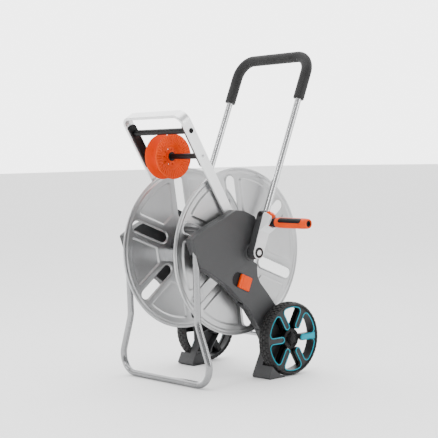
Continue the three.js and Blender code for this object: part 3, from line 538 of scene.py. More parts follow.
def foam_material(name, colour):
    """Closed-cell foam: dense small pits under a dull skin."""
    paint, tree, inputs = principled(name, colour, 0.75)
    cells = node(tree, "TexVoronoi", Scale=900.0)
    tree.links.new(node(tree, "TexCoord").outputs["Object"], cells.inputs["Vector"])
    slow = noise(tree, 25.0, 4.0)
    tree.links.new(cloudy(tree, slow, colour, 0.75, 1.3), inputs["Base Color"])
    tree.links.new(ranged(tree, slow, 0.62, 0.82), inputs["Roughness"])
    bumped(tree, inputs, cells.outputs["Distance"], 0.2, 0.0004)
    return paint


def rubber_material(name, colour, edge_highlight):
    """Tyre compound: fine mould texture and a painted highlight that makes the block edges paler.
    """
    paint, tree, inputs = principled(name, colour, 0.7)
    slow = noise(tree, 40.0, 5.0)
    shade = cloudy(tree, slow, colour, 0.8, 1.5)
    # Painted highlight: the sharp block edges take the pale colour.
    tree.links.new(mixed(tree, sharp_edge_highlight(tree, 0.53, 0.64), shade, edge_highlight), inputs["Base Color"])
    tree.links.new(ranged(tree, slow, 0.6, 0.85), inputs["Roughness"])
    bumped(tree, inputs, noise(tree, 1400.0, 2.0), 0.2, 0.0005)
    return paint


# In each plastic the colour after the roughness is its painted edge highlight; the tyre's last
# colour is one too.
PAINT = {
    "cheek": plastic("cheek_plastic", (0.032, 0.0325, 0.034), 0.5, shine=0.4),
    "dark": plastic("dark_plastic", (0.03, 0.0305, 0.032), 0.5),
    "black": plastic("black_plastic", (0.003, 0.003, 0.0033), 0.45, (0.012, 0.012, 0.013), 0.18),
    "wheel": plastic("wheel_plastic", (0.016, 0.016, 0.017), 0.5, (0.034, 0.034, 0.036), 0.3),
    "orange": plastic("orange_plastic", (0.74, 0.058, 0.0), 0.45, (0.8, 0.08, 0.0), 0.12),
    "teal": plastic("teal_plastic", (0.0, 0.3, 0.4), 0.45, (0.0, 0.36, 0.46), 0.12),
    "light": plastic("light_plastic", (0.66, 0.67, 0.68), 0.42, (0.75, 0.75, 0.75)),
    "flange": metal("flange_metal", (0.45, 0.453, 0.457), 0.31, 0.9, (1, 1, 0.12), 500.0),
    "tube": metal("tube_metal", (0.62, 0.625, 0.635), 0.2, 1.0, (1, 0.15, 0.06), 700.0, 0.01),
    "foot": metal("foot_metal", (0.3, 0.303, 0.308), 0.24, 1.0, (1, 0.3, 0.06), 700.0, 0.01),
    "strap": metal("strap_metal", (0.8, 0.805, 0.81), 0.34, 0.8, (0.2, 1, 0.2), 900.0),
    "steel": metal("steel_metal", (0.55, 0.56, 0.57), 0.25, 1.0, (0.1, 1, 1), 1200.0),
    "foam": foam_material("grip_foam", (0.005, 0.005, 0.0053)),
    "tyre": rubber_material("tyre_rubber", (0.004, 0.004, 0.0043), (0.07, 0.068, 0.065)),
}
PAINT["bar"] = PAINT["tube"]


# ------------------------------------------------------------------ common forms
FRAME = ("frame", "frame")


def twin(piece, name, body, stands_in):
    """The same piece on the other side of the cart."""
    mesh = piece.data.copy()
    middle = Matrix.Translation((ORIGIN.x, 0, 0))
    mesh.transform(middle @ Matrix.Scale(-1, 4, AXIS_X) @ middle.inverted())
    mesh.flip_normals()
    return on_body(name, mesh, body, [name] if stands_in else [])


def pair(name, shell, look, cuts=(), bodies=FRAME, smooth=CREASE, stands_in=True):
    right = finished(f"{name}_right", shell, bodies[0], look, smooth, stands_in)
    cut(right, *cuts)
    twin(right, f"{name}_left", bodies[1], stands_in)


def box_shell(origin, axes, us, vs, ws, bevel=0.0):
    outline = [(us[0], vs[0]), (us[1], vs[0]), (us[1], vs[1]), (us[0], vs[1])]
    if bevel:
        outline = rounded([(x, y, bevel + 0.4) for x, y in outline], 15)
    return Shell().slab(outline, origin, axes, ws[0], ws[1] - ws[0], bevel=bevel)


def rod_shell(radius, start, end, origin, axis=AXIS_X, chamfer=0.6, segments=40):
    profile = [
        (0, start), (radius - chamfer, start), (radius, start + chamfer), (radius, end - chamfer),
        (radius - chamfer, end), (0, end),
    ]
    return Shell().lathe(profile, origin, segments, axis)


def bore(radius, start, end, origin, axis=AXIS_X, segments=40):
    """A rod to cut with."""
    return rod_shell(radius, start, end, origin, axis, 0.1, segments)


def tube(name, path, normal, body, look):
    shell = Shell().sweep(path, normal, circle(9, 36), circle(7.7, 36))
    finished(name, shell, body, look, 40)


# ------------------------------------------------------------------ drum
FLANGE_X = 106.0
FLANGE_RADIUS = 225.0
SHEET = 1.2
SLOTS = 6
SLOT_START = math.radians(22)
SLOT_ENDS = (80, 205)
SLOT_HALF = 14.0
BAND_RADIUS = 210.0


def turned(points, angle):
    c, s = math.cos(angle), math.sin(angle)
    return [(x * c - y * s, x * s + y * c) for x, y in points]


def flange_shell():
    """A pressed sheet: six slots with rolled lips, raised panels between them and a rolled rim."""
    loops, heights = [], []

    def loop(points, height):
        loops.append(counter_clockwise(points))
        heights.extend([height] * len(points))

    loop(circle(BAND_RADIUS, 180), 0)
    loop(circle(10.2, 32), 4)
    holes = [1]
    panel = counter_clockwise(panel_outline())
    for radius, height in ((30, 4), (34, 3.4), (40, 0.6), (44, 0)):
        loop(circle(radius, 64), height)
    for k in range(SLOTS):
        turn = math.pi - SLOT_START - 2 * math.pi * k / SLOTS
        holes.append(len(loops))
        for grow, height in ((0, 1.6), (1.2, 3.0), (2.6, 3.0), (4.6, 0.6), (5.6, 0)):
            slot = stadium(SLOT_ENDS[0] - grow, min(209.0, SLOT_ENDS[1] + grow), SLOT_HALF + grow)
            loop(turned(slot, turn), height)
        for inward, height in ((0, 0), (1.0, 0.4), (4.8, 3.4), (5.8, 3.8)):
            loop(turned(offset(panel, inward), turn - math.pi / SLOTS), height)
    points, source, faces = fill(loops, holes)
    shell = Shell()
    lifted = [
        Vector((FLANGE_X + (heights[s] if s is not None else 0), p.x, DRUM.z + p.y))
        for p, s in zip(points, source)
    ]
    shell.add(lifted, faces)
    # The rim is a low step, and then the sheet's edge rolled into a bead.
    rim = [(BAND_RADIUS, 0), (211.5, 0.5), (213.5, 1.5), (215, 1.8), (218, 1.8), (219, 1.4)]
    bead = 2.9
    for k in range(1, 15):
        rim.append(polar(bead, math.radians(150 - 24 * k), (FLANGE_RADIUS - bead, 0)))
    shell.lathe([(r, FLANGE_X + h) for r, h in rim], DRUM, 180)
    return shell


def panel_outline():
    """The raised panel half-way between two slots: its sides run beside the slots."""
    away, inner, outer = 31.5, 103.0, 199.0
    half = math.pi / SLOTS
    near = (inner * math.sin(half) - away) / math.cos(half)
    angle = half - math.asin(away / outer)
    arc = [(-1, 14), (-0.7, 60), (-0.35, 60), (0, 60), (0.35, 60), (0.7, 60), (1, 14)]
    corners = [(*polar(outer, angle * t), radius) for t, radius in arc]
    return rounded([(inner, -near, 8), *corners, (inner, near, 8)])


def make_flanges():
    right = finished("flange_right", flange_shell(), "drum", "flange", 40)
    if sum(polygon.normal.x * polygon.area for polygon in right.data.polygons) < 0:
        right.data.flip_normals()
    thick = right.modifiers.new("sheet", "SOLIDIFY")
    thick.thickness = SHEET * MM
    thick.offset = -1
    apply_modifier(right, thick.name)
    right.data.set_sharp_from_angle(angle=math.radians(40))
    twin(right, "flange_left", "drum", True)


def make_core():
    end = 104.9
    profile = [
        (15.7, -30), (15.7, -6), (52, -4), (52, -end), (60.5, -end), (60.5, -98), (58, -96),
        (58, 96), (60.5, 98), (60.5, end), (52, end), (52, 4), (15.7, 6), (15.7, 30), (10, 30),
        (10, -30),
    ]
    ribs = 24

    def ripple(k, _, radius, along):
        return radius + (1.6 if radius == 58 and k % 8 in (0, 1) else 0), along

    shell = Shell().lathe(profile, DRUM, ribs * 8, closed=True, ripple=ripple)
    finished("drum_core", shell, "drum", "dark")


def make_bars():
    """Sheet channels that carry the hose."""
    radius, half, deep, sheet = 86.0, 18.5, 12.0, 2.0
    foot = radius - deep
    sides = [
        (foot, -half, 0.6), (radius, -half, 3.2), (radius, half, 3.2), (foot, half, 0.6),
        (foot, half - sheet, 0.6), (radius - sheet, half - sheet, 1.4),
        (radius - sheet, -half + sheet, 1.4), (foot, -half + sheet, 0.6),
    ]
    for number, degrees in enumerate((-9.5, 110.5, 230.5)):
        angle = math.radians(degrees)
        out = Vector((0, -math.cos(angle), math.sin(angle)))
        side = Vector((0, -math.sin(angle), -math.cos(angle)))
        axes = (out, side, AXIS_X)
        shell = Shell().slab(rounded(sides), DRUM, axes, -104.9, 209.8)
        name = f"core_bar_{number + 1}"
        finished(name, shell, "drum", "bar")


def make_shaft():
    shell = Shell().lathe(
        [(6, -152), (9.2, -152), (9.7, -151.2), (9.7, 181), (9, 182), (0.01, 182)],
        DRUM, 48,
    )
    shell.lathe([(6, -152), (6, -50), (0.01, -50)], DRUM, 48)
    finished("drum_shaft", shell, "drum", "dark")
    barbs = [(4, 10.2), (8, 10.2), (8, 14), (6.5, 15), (6.5, 56)]
    for k in range(3):
        barbs += [(8, 59 + 5 * k), (6.5, 63.5 + 5 * k)]
    barbs += [(4, 74)]
    shell = Shell().lathe(barbs, DRUM - AXIS_X * 60, 40, -AXIS_Z, closed=True)
    finished("hose_nipple", shell, "drum", "black")


# ------------------------------------------------------------------ cheeks and legs
SPLIT_X = 139.0
SEAM = 0.2
WALL = 3.2
CHEEK_X = (123.9, 154.0)
LEG_X = (123.9, 149.5)
WHEEL_CLEARANCE = 104.0
CHEEK_TOP = [
    (-202, 387, 6), (-178, 316, 5), (-145.5, 298.1, 40), (-111.5, 277.1, 40), (-77, 253.2, 40),
    (-49.1, 226.9, 40), (-31.7, 209.3, 40), (-6.8, 188.1, 30), (36, 129.8, 3.4), (97, 188, 3.4),
    (57.3, 233.1, 40), (36, 257, 20), (26, 275, 15), (25, 297, 4), (27.2, 307.5, 3.4),
    (11.2, 317.5, 3), (17, 324, 6), (23, 342, 12), (18.5, 366, 6), (23.5, 435, 12),
    (-18, 452.5, 30), (-47, 456.3, 12), (-86.1, 439.6, 60), (-158, 412.5, 60),
]
LEG = [
    (36.6, 129.3, 3), (54, 95, 12), (54.5, 64.7, 20), (26, 7, 4), (28, 0, 3), (86, 0, 4),
    (100, 40, 20), (140, 95, 30), (135, 142, 20), (97.5, 187.6, 3),
]
FLARE = [(31, 0, 3), (86, 0, 3), (86, 40, 3), (43, 40, 3), (25, 5, 5)]
MIDDLE = Vector()
LATCH_CENTRE = Vector((0, -22.5, 262.6))
HANDLE_X = 139.7
HANDLE_TOP = Vector((0, 256.6, 871.9))
HANDLE_BOTTOM_Z = 232.0
FOOT_TOP = Vector((141, -181.4, 371.5))
FOOT_BASE = Vector((201, -175.5, 9))


def cheek_cuts():
    handle_foot = HANDLE_TOP - HANDLE_UP * ((HANDLE_TOP.z - HANDLE_BOTTOM_Z) / HANDLE_UP.z)
    handle_foot.x = HANDLE_X
    foot_up = (FOOT_TOP - Vector((FOOT_TOP.x, FOOT_BASE.y, FOOT_BASE.z))).normalized()
    return [
        bore(9.5, -100, 700, handle_foot, HANDLE_UP, 32),
        bore(9.5, -90, 0.5, FOOT_TOP, foot_up, 32),
        box_shell(
            MIDDLE, (AXIS_X, AXIS_Y, AXIS_Z),
            (CHEEK_X[0] + 3, CHEEK_X[1] - 3), (-230, -168), (290, 346),
        ),
        bore(14.3, 100, 170, DRUM),
    ]


def clipped(outline, point, along):
    """How far a line runs each way from a point before it leaves an outline."""
    reach = [-1000.0, 1000.0]
    for i in range(len(outline)):
        a, b = Vector(outline[i - 1]), Vector(outline[i])
        edge = b - a
        across = along.x * edge.y - along.y * edge.x
        if abs(across) < PARALLEL:
            continue
        gap = a - point
        t = (gap.x * edge.y - gap.y * edge.x) / across
        s = (gap.x * along.y - gap.y * along.x) / across
        if 0 <= s <= 1:
            if t > 0:
                reach[1] = min(reach[1], t)
            else:
                reach[0] = max(reach[0], t)
    return reach


def make_cheeks():
    top = rounded(CHEEK_TOP)
    start = SPLIT_X + SEAM
    outer = Shell().slab(
        top, MIDDLE, SIDE_FACE, start, CHEEK_X[1] - start,
        bevel=2.6, back_bevel=0.7, steps=4,
    )
    hollow = rounded(inset(CHEEK_TOP, WALL))
    pocket = Shell().slab(hollow, MIDDLE, SIDE_FACE, 120, 26.4)
    bed = box_shell(LATCH_CENTRE, LATCH_FACE, (-31, 53), (-25, 25), (140, 151))
    cone = Shell().lathe(
        [(0, 149.6), (WHEEL_CLEARANCE, 149.6), (160, 154.05), (160, 175), (0, 175)],
        WHEEL, 120,
    )
    slot = Shell().slab(latch_outline(0), LATCH_CENTRE, LATCH_FACE, 145, 20)
    pair("cheek_outer", outer, "cheek", [pocket, cone, bed, slot, *cheek_cuts()])

    boss = Shell().lathe(
        [(14.3, 148), (22.8, 148), (22.8, 155), (22, 155.6), (22, 158.8), (21.4, 159.7),
         (20.4, 160), (18.2, 160), (17.6, 159.4), (15.6, 159.4), (15, 160), (10.3, 160),
         (10.3, 158), (14.3, 158)],
        DRUM, 72, closed=True,
    )
    pair("cheek_boss", boss, "cheek", stands_in=False)

    # A raised edge runs round the latch opening.
    lip = Shell().slab(
        latch_outline(1.7), LATCH_CENTRE, LATCH_FACE, 153, 1.5,
        holes=[latch_outline(0)], bevel=0.45, back_bevel=0,
    )
    pair("latch_rim", lip, "cheek", stands_in=False)

    inner = Shell().slab(
        top, MIDDLE, SIDE_FACE, CHEEK_X[0], SPLIT_X - SEAM - CHEEK_X[0],
        bevel=0.7, back_bevel=2.2, steps=4,
    )
    back_pocket = Shell().slab(hollow, MIDDLE, SIDE_FACE, CHEEK_X[0] + 3, 30)
    pair("cheek_inner", inner, "cheek", [back_pocket, *cheek_cuts()])

    leg_outline = rounded(LEG)
    leg = Shell().slab(
        leg_outline, MIDDLE, SIDE_FACE, LEG_X[0], LEG_X[1] - LEG_X[0], bevel=1.6, back_bevel=0.8
    )
    leg_hollow = Shell().slab(
        rounded(inset(LEG, WALL)), MIDDLE, SIDE_FACE, LEG_X[0] - 5, LEG_X[1] - LEG_X[0] + 1.8
    )
    axle_hole = bore(6.4, 100, 200, WHEEL)
    pair("cheek_leg", leg, "cheek", [leg_hollow, axle_hole], stands_in=False)

    ribs = Shell().lathe(
        [(6.4, LEG_X[0]), (15.2, LEG_X[0]), (16, LEG_X[0] + 0.8), (16, 148), (6.4, 148)],
        WHEEL, 48, closed=True,
    )
    for y, z, degrees in ((92, 100, 20), (80, 30, 0), (85, 150, -25)):
        angle = math.radians(degrees)
        along = Vector((math.cos(angle), math.sin(angle)))
        near, far = clipped(leg_outline, Vector((y, z)), along)
        near, far = near + 1.5, far - 1.5
        start = Vector((0, y, z))
        path = Vector((0, along.x, along.y))
        axes = (square_to(path), path, AXIS_X)
        spans = [(near, far)]
        # A rib stops at the axle's boss.
        if abs((WHEEL - start).dot(axes[0])) < 15:
            at = (WHEEL - start).dot(path)
            spans = [s for s in ((near, at - 14), (at + 14, far)) if s[1] > s[0]]
        for span in spans:
            ribs.join(box_shell(start, axes, (-1.4, 1.4), span, (LEG_X[0] + 0.4, 148), 0.4))
    pair("leg_ribs", ribs, "cheek", stands_in=False)

    flare = Shell().slab(rounded(FLARE), MIDDLE, SIDE_FACE, 129, 61, bevel=1.6, steps=4)
    clearance = bore(WHEEL_CLEARANCE, LEG_X[1] - 0.2, 210, WHEEL, segments=96)
    pair("heel", flare, "cheek", [clearance], stands_in=False)

    bush = Shell().lathe(
        [(10, 120.9), (17.4, 120.9), (18, 121.4), (18, 123.6), (14, 123.6), (14, 157.6),
         (10, 157.6)],
        DRUM, 60, closed=True,
    )
    pair("bearing", bush, "black")


def latch_outline(grow):
    half = 18.9 + grow
    return rectangle((-22.5 - grow, 46 + grow), half, 2.5, half, 6)


def make_latches():
    """A square thumb button with a sloping grip edge, in a slot backed by a black bed, which is
    painted shade: it makes the slot look dark.
    """
    face = rectangle((-20, 20), 18.5, 3, 3.4)
    button = Shell().slab(
        face, LATCH_CENTRE, LATCH_FACE, 151, 6.3, bevel=1.0, back_bevel=0.3
    )
    raised = rectangle((-19, 11.5), 17.4, 2.6, 2.2)
    step = Shell().slab(
        raised, LATCH_CENTRE, LATCH_FACE, 156, 2.5, bevel=1.5, back_bevel=0, steps=5
    )
    stem = box_shell(LATCH_CENTRE, LATCH_FACE, (-1.6, 4), (-4, 4), (136.4, 152))
    pair("latch", button.join(step, stem), "orange", bodies=("latch_right", "latch_left"))
    # Painted shade: this black plate behind the slot stands for the shade inside it.
    bed = Shell().slab(
        rectangle((-30, 52), 24, 3, 3, 15), LATCH_CENTRE, LATCH_FACE, 149.3, 1.3,
        holes=[[(-2.6, -4.6), (15, -4.6), (15, 4.6), (-2.6, 4.6)]],
    )
    pair("latch_bed", bed, "black")


# ------------------------------------------------------------------ tubes
def make_handle():
    arm = (HANDLE_TOP.z - HANDLE_BOTTOM_Z) / HANDLE_UP.z

    def path(length):
        corners = [HANDLE_TOP + AXIS_X * (side * HANDLE_X) for side in (-1, 1)]
        ends = [corner - HANDLE_UP * length for corner in corners]
        return bent_path([ends[0], *corners, ends[1]], [50, 50], 4)

    tube("handle_tube", path(arm), HANDLE_FRONT, "handle", "tube")
    foam = Shell().sweep(path(131.2), HANDLE_FRONT, circle(15.2, 40), circle(9.4, 40), 2.4)
    grip = finished("foam_grip", foam, "handle", "foam", 50)
    plug = Shell().lathe(
        [(0, -2.2), (7.4, -2.2), (8.6, -1.4), (8.6, 0.2), (7.4, 0.2), (7.4, 9), (0, 9)],
        HANDLE_TOP + AXIS_X * HANDLE_X - HANDLE_UP * arm, 40, HANDLE_UP,
    )
    pair("handle_plug", plug, "black", bodies=("handle", "handle"), stands_in=False)


def make_foot():
    slope = (FOOT_TOP.y - FOOT_BASE.y) / (FOOT_TOP.z - FOOT_BASE.z)
    kink_z = 167.5
    kink = Vector((140, FOOT_BASE.y + slope * (kink_z - FOOT_BASE.z), kink_z))
    flip = Matrix.Diagonal((-1, 1, 1))
    corners = [flip @ FOOT_TOP, flip @ kink, flip @ FOOT_BASE, FOOT_BASE, kink, FOOT_TOP]
    normal = Vector((0, -1, slope)).normalized()
    path = bent_path(corners, [60, 48, 48, 60], 4)
    tube("foot_tube", path, normal, "frame", "foot")


# ------------------------------------------------------------------ bail and hose guide
BAIL_X = (115.5, 123.5)
BAIL_TOP = 50.0
BAIL_FOOT = 232.0
BAR_END = BAIL_X[0] - 3.6


def make_bail():
    middle = (BAIL_X[0] + BAIL_X[1]) / 2
    top, end = UPPER_BAR + BAIL_UP * BAIL_TOP, GUIDE_ROD - BAIL_UP * BAIL_FOOT
    places = ((end, -middle), (top, -middle), (top, middle), (end, middle))
    corners = [point + AXIS_X * x for point, x in places]
    half, thick = 15.0, 4.0
    section = rectangle((-half, half), thick, 2.2, 2.2, 18)
    path = bent_path(corners, [25, 25], 4)
    strap = Shell().sweep(path, BAIL_REAR, section)
    piece = finished("guide_bail", strap, "frame", "strap")
    foot = GUIDE_ROD - BAIL_UP * (BAIL_FOOT - 18)
    cut(
        piece,
        bore(4.4, -140, 140, UPPER_BAR),
        bore(3.4, -140, 140, GUIDE_ROD),
        bore(3.4, -140, 140, foot),
    )

    outline = rectangle((-30, BOLT_SPACING + 24), 13, 10, 10)
    plate = Shell().slab(outline, GUIDE_ROD, BAIL_FACE, 107.6, 7.6, bevel=0.8, back_bevel=1.6)
    seats = [
        bore(8.4, 100, BAR_END + 0.3, UPPER_BAR),
        bore(7.9, 100, BAR_END + 0.3, GUIDE_ROD),
        box_shell(GUIDE_ROD, BAIL_FACE, (16, 58), (-8, 8), (100, 109.6), 1.0),
    ]
    pair("guide_plate", plate, "black", seats)

    # The upper bar is an extruded hose rest with a groove down each side.
    profile = []
    for k in range(48):
        angle = 2 * math.pi * k / 48
        profile.append(polar(6.9 if abs(math.sin(2 * angle)) > 0.96 else 8, angle))
    bar = Shell().slab(profile, UPPER_BAR, BAIL_FACE, -BAR_END, 2 * BAR_END, bevel=0.3)
    finished("guide_upper_bar", bar, "frame", "black")
    rod = rod_shell(7.5, -BAR_END, BAR_END, GUIDE_ROD, chamfer=0.8, segments=48)
    finished("guide_rod", rod, "frame", "black")

    face = BAIL_X[1] + 0.3
    sides = 42

    def hexagonal(k, i, radius, along):
        local = (2 * math.pi * k / sides) % (math.pi / 3) - math.pi / 6
        return (min(radius * 0.99, 0.86 * radius / math.cos(local)) if i else radius), along

    for name, at, head, height, drive, look in (
        ("bail_bolt_upper", UPPER_BAR, 7.0, 3.0, 3.2, "black"),
        ("bail_bolt_lower", GUIDE_ROD, 4.0, 2.0, 1.8, "steel"),
    ):
        profile = [(0, 97), (2.9, 97), (2.9, face), (head, face)]
        for k in range(5):
            angle = math.pi / 2 * k / 5
            dome = drive + (head - drive) * math.cos(angle)
            profile.append((dome, face + height * math.sin(angle)))
        profile.append((drive, face + height))
        bolt = Shell().lathe(profile, at, sides)
        # A hexagonal drive is sunk in the head.
        depths = (0, 0.1, 0.55 * height)
        sunk = [(drive, face + height - depth) for depth in depths]
        bolt.lathe(sunk, at, sides, ripple=hexagonal)
        bolt.add(bolt.points[-sides:], [list(range(sides))])
        pair(name, bolt, look)

    screw = Shell().lathe(
        [(0, 112.6), (1.6, 112), (4.6, 112), (6, 113), (6, 115.2), (3, 115.2), (3, 123.6),
         (0, 123.6)],
        foot, 36,
    )
    pair("bail_screw", screw, "steel")


def make_pulley():
    """Two dished halves with fine radial ribs; the hub plate of each has a ring of holes."""
    ribs = 44
    outer_side = [(33.5, 16.6), (36.5, 18.2), (40, 19.8), (45, 21.4), (50, 22.3), (55, 23)]
    profile = [
        (27, 0.2), (28.2, 0.8), (29.4, 5), (31, 9), (33.6, 12.6), (37, 15.2), (41.6, 17.4),
        (47, 18.9), (53, 20.2), (58.2, 21), (60, 21.6), (60.4, 22.6), (60, 23.6), (58.4, 24),
        (57, 23.5), *reversed(outer_side), (30, 13.6), (27.6, 10.4), (25, 9.2), (25, 0.2),
    ]
    ribbed = {p for p in outer_side if p[0] > 34}

    def ripple(k, _, radius, along):
        raised = -1.0 if k % 8 in (0, 1, 2) else 1.0
        return radius, along + (raised if (radius, along) in ribbed else 0)

    shell = Shell().lathe(profile, GUIDE_ROD, ribs * 8, closed=True, ripple=ripple)
    hub = Shell().slab(
        circle(26, 72), GUIDE_ROD, SIDE_FACE, 5.6, 3.2,
        holes=[circle(9.5, 40)]
        + [circle(1.9, 14, polar(20.2, 2 * math.pi * k / 10)) for k in range(10)],
        bevel=0.35, back_bevel=0.2,
    )
    collar = Shell().lathe(
        [(9.5, 0.2), (14.4, 0.2), (14.4, 8), (14.1, 14.4), (13.4, 15), (10.1, 15), (9.5, 14.4)],
        GUIDE_ROD, 60, closed=True,
    )
    shell.join(hub, collar)
    for k in range(5):
        axes = spoke_axes(2 * math.pi * (k + 0.5) / 5)
        shell.join(box_shell(GUIDE_ROD, axes, (13, 17), (-0.9, 0.9), (8, 12), 0.3))
    for side, flip in (("right", 1), ("left", -1)):
        half = Shell()
        points = [Vector((PULLEY_X + flip * p.x, p.y, p.z)) for p in shell.points]
        finished(f"pulley_{side}", half.add(points, shell.faces), "pulley", "orange", 35)
    bush = Shell().lathe(
        [(7.8, -17.5), (11.4, -17.5), (12, -17), (12, -15.3), (9.2, -15.3), (9.2, 15.3),
         (12, 15.3), (12, 17), (11.4, 17.5), (7.8, 17.5)],
        GUIDE_ROD + AXIS_X * PULLEY_X, 48, closed=True,
    )
    finished("pulley_bush", bush, "pulley_carrier", "black")


# ------------------------------------------------------------------ wheels
FACE_X = (178.0, 186.0)
SPOKE_X = (158.0, 168.0)
WINDOW_RADIUS = 84.5
FINGER_HALF = 9.6
FINGER_TIP = 30.0
FINGER_FILLET = 9.0
SPOKES = 6


def window_edge(grow):
    """The edge of the wheel face's window: a ring with six fingers that point at the hub."""
    half = FINGER_HALF - grow
    ring = WINDOW_RADIUS + grow
    fillet = FINGER_FILLET + grow
    across = FINGER_HALF + FINGER_FILLET
    fillet_at = math.sqrt((WINDOW_RADIUS - FINGER_FILLET) ** 2 - across**2)
    ring_angle = math.atan2(across, fillet_at)
    tip_at = FINGER_TIP + FINGER_HALF
    quarter = math.pi / 2
    pitch = 2 * math.pi / SPOKES
    out = []
    for k in range(SPOKES):
        part = [polar(half, -quarter - math.pi * s / 12, (tip_at, 0)) for s in range(13)]
        turns = [-quarter + (ring_angle + quarter) * s / 6 for s in range(7)]
        bend = [polar(fillet, turn, (fillet_at, across)) for turn in turns]
        part += bend
        for s in range(1, 6):
            part.append(polar(ring, ring_angle + (pitch - 2 * ring_angle) * s / 6))
        part += turned([(x, -y) for x, y in reversed(bend)], pitch)
        out += turned(part, pitch * k)
    return out


def make_wheels():
    bodies = ("wheel_right", "wheel_left")
    face = Shell().slab(
        circle(90, 120), WHEEL, SIDE_FACE, FACE_X[0], FACE_X[1] - FACE_X[0],
        holes=[window_edge(0)], bevel=0.9, back_bevel=0.5,
    )
    rim = Shell().lathe(
        [(86, 156), (90, 156), (90, 186.4), (89.6, 187.2), (88.6, 187.4), (88, 186.6), (87.6, 182),
         (87, 178)],
        WHEEL, 120, closed=True,
    )
    pair("wheel_hub", face.join(rim), "wheel", bodies=bodies, smooth=35)

    core = Shell().lathe(
        [(6.4, 154), (17, 154), (18, 155), (26.6, 164), (27.6, 166), (28, 170), (28, 180.2),
         (27, 181.6), (25.4, 182), (23.6, 182), (23, 181), (20.4, 180.6), (19.8, 178.8),
         (15.4, 178.8), (15, 180.6), (14.6, 183.2), (14, 184), (6.4, 184)],
        WHEEL, 72, closed=True,
    )
    for k in range(SPOKES):
        angle = 2 * math.pi * k / SPOKES
        for turn, us, half, ws, bevel in (
            (0, (20, 88), 7, SPOKE_X, 1.2),
            (0, (20, 88), 1.6, (166, 179), 0.5),
            (math.pi / SPOKES, (15, 24), 2, (176, 181.4), 0.6),
        ):
            core.join(box_shell(WHEEL, spoke_axes(angle + turn), us, (-half, half), ws, bevel))
    pair("wheel_core", core, "black", bodies=bodies, smooth=35, stands_in=False)

    start = FACE_X[1] + 0.1
    accent = Shell().slab(
        window_edge(2.9), WHEEL, SIDE_FACE, start, 1.1,
        holes=[window_edge(0.5)], bevel=0.35, back_bevel=0,
    )
    finger = rectangle((31, 86), 8.6, 8.6, 1)
    accent.slab(finger, WHEEL, SIDE_FACE, start, 1.1, bevel=0.35, back_bevel=0)
    pair("wheel_accent", accent, "teal", bodies=bodies, smooth=35)

    cap = Shell().lathe(
        [(0, 184.3), (11.6, 184.3), (12, 184.8), (12, 186.8), (11, 188), (9.4, 188.6), (8.6, 188.2),
         (7.4, 188.2), (6.6, 188.7), (4, 189), (0, 189)],
        WHEEL, 60,
    )
    pair("wheel_cap", cap, "black", bodies=bodies)

    lugs, fine = 44, 8
    crown = [
        (96.3, 154.2, 0), (97.9, 157, 0), (98.7, 160.4, 0), (97.6, 161, None), (97.6, 162, None),
        (99.2, 162.6, 4), (99.6, 166, 4), (99.6, 170, 4), (97.8, 170.5, None), (97.8, 171.5, None),
        (99.6, 172, 0), (99.6, 176, 0), (99.2, 179.6, 0), (97.6, 180.2, None), (97.6, 181.2, None),
        (98.6, 181.8, 4), (97.8, 185, 4), (96.3, 187.8, 4),
    ]
    wall_low = [(94.4, 152.6, 0), (92.6, 152, None), (91.2, 152.8, None), (90.4, 155.8, None)]
    wall_high = [(94.4, 189.4, 4), (93.4, 190, None), (92, 190, None), (91, 188.6, None),
                 (90.4, 186.4, None)]
    rows = list(reversed(wall_low)) + crown + wall_high

    def ripple(k, i, radius, along):
        phase = rows[i][2]
        if phase is not None and (k + phase) % fine in (0, 1):
            return radius - (2.3 if radius > 97 else 1.2), along
        return radius, along

    line = [row[:2] for row in rows]
    tyre = Shell().lathe(line, WHEEL, lugs * fine, closed=True, ripple=ripple)
    pair("tyre", tyre, "tyre", bodies=bodies, smooth=30)
    axle = rod_shell(6, -184, 184, WHEEL, chamfer=0.8)
    finished("wheel_axle", axle, "frame", "steel")


# ------------------------------------------------------------------ crank
# The soft inlays face up and to the front, and the other way.
INLAY_TURN = math.radians(15)


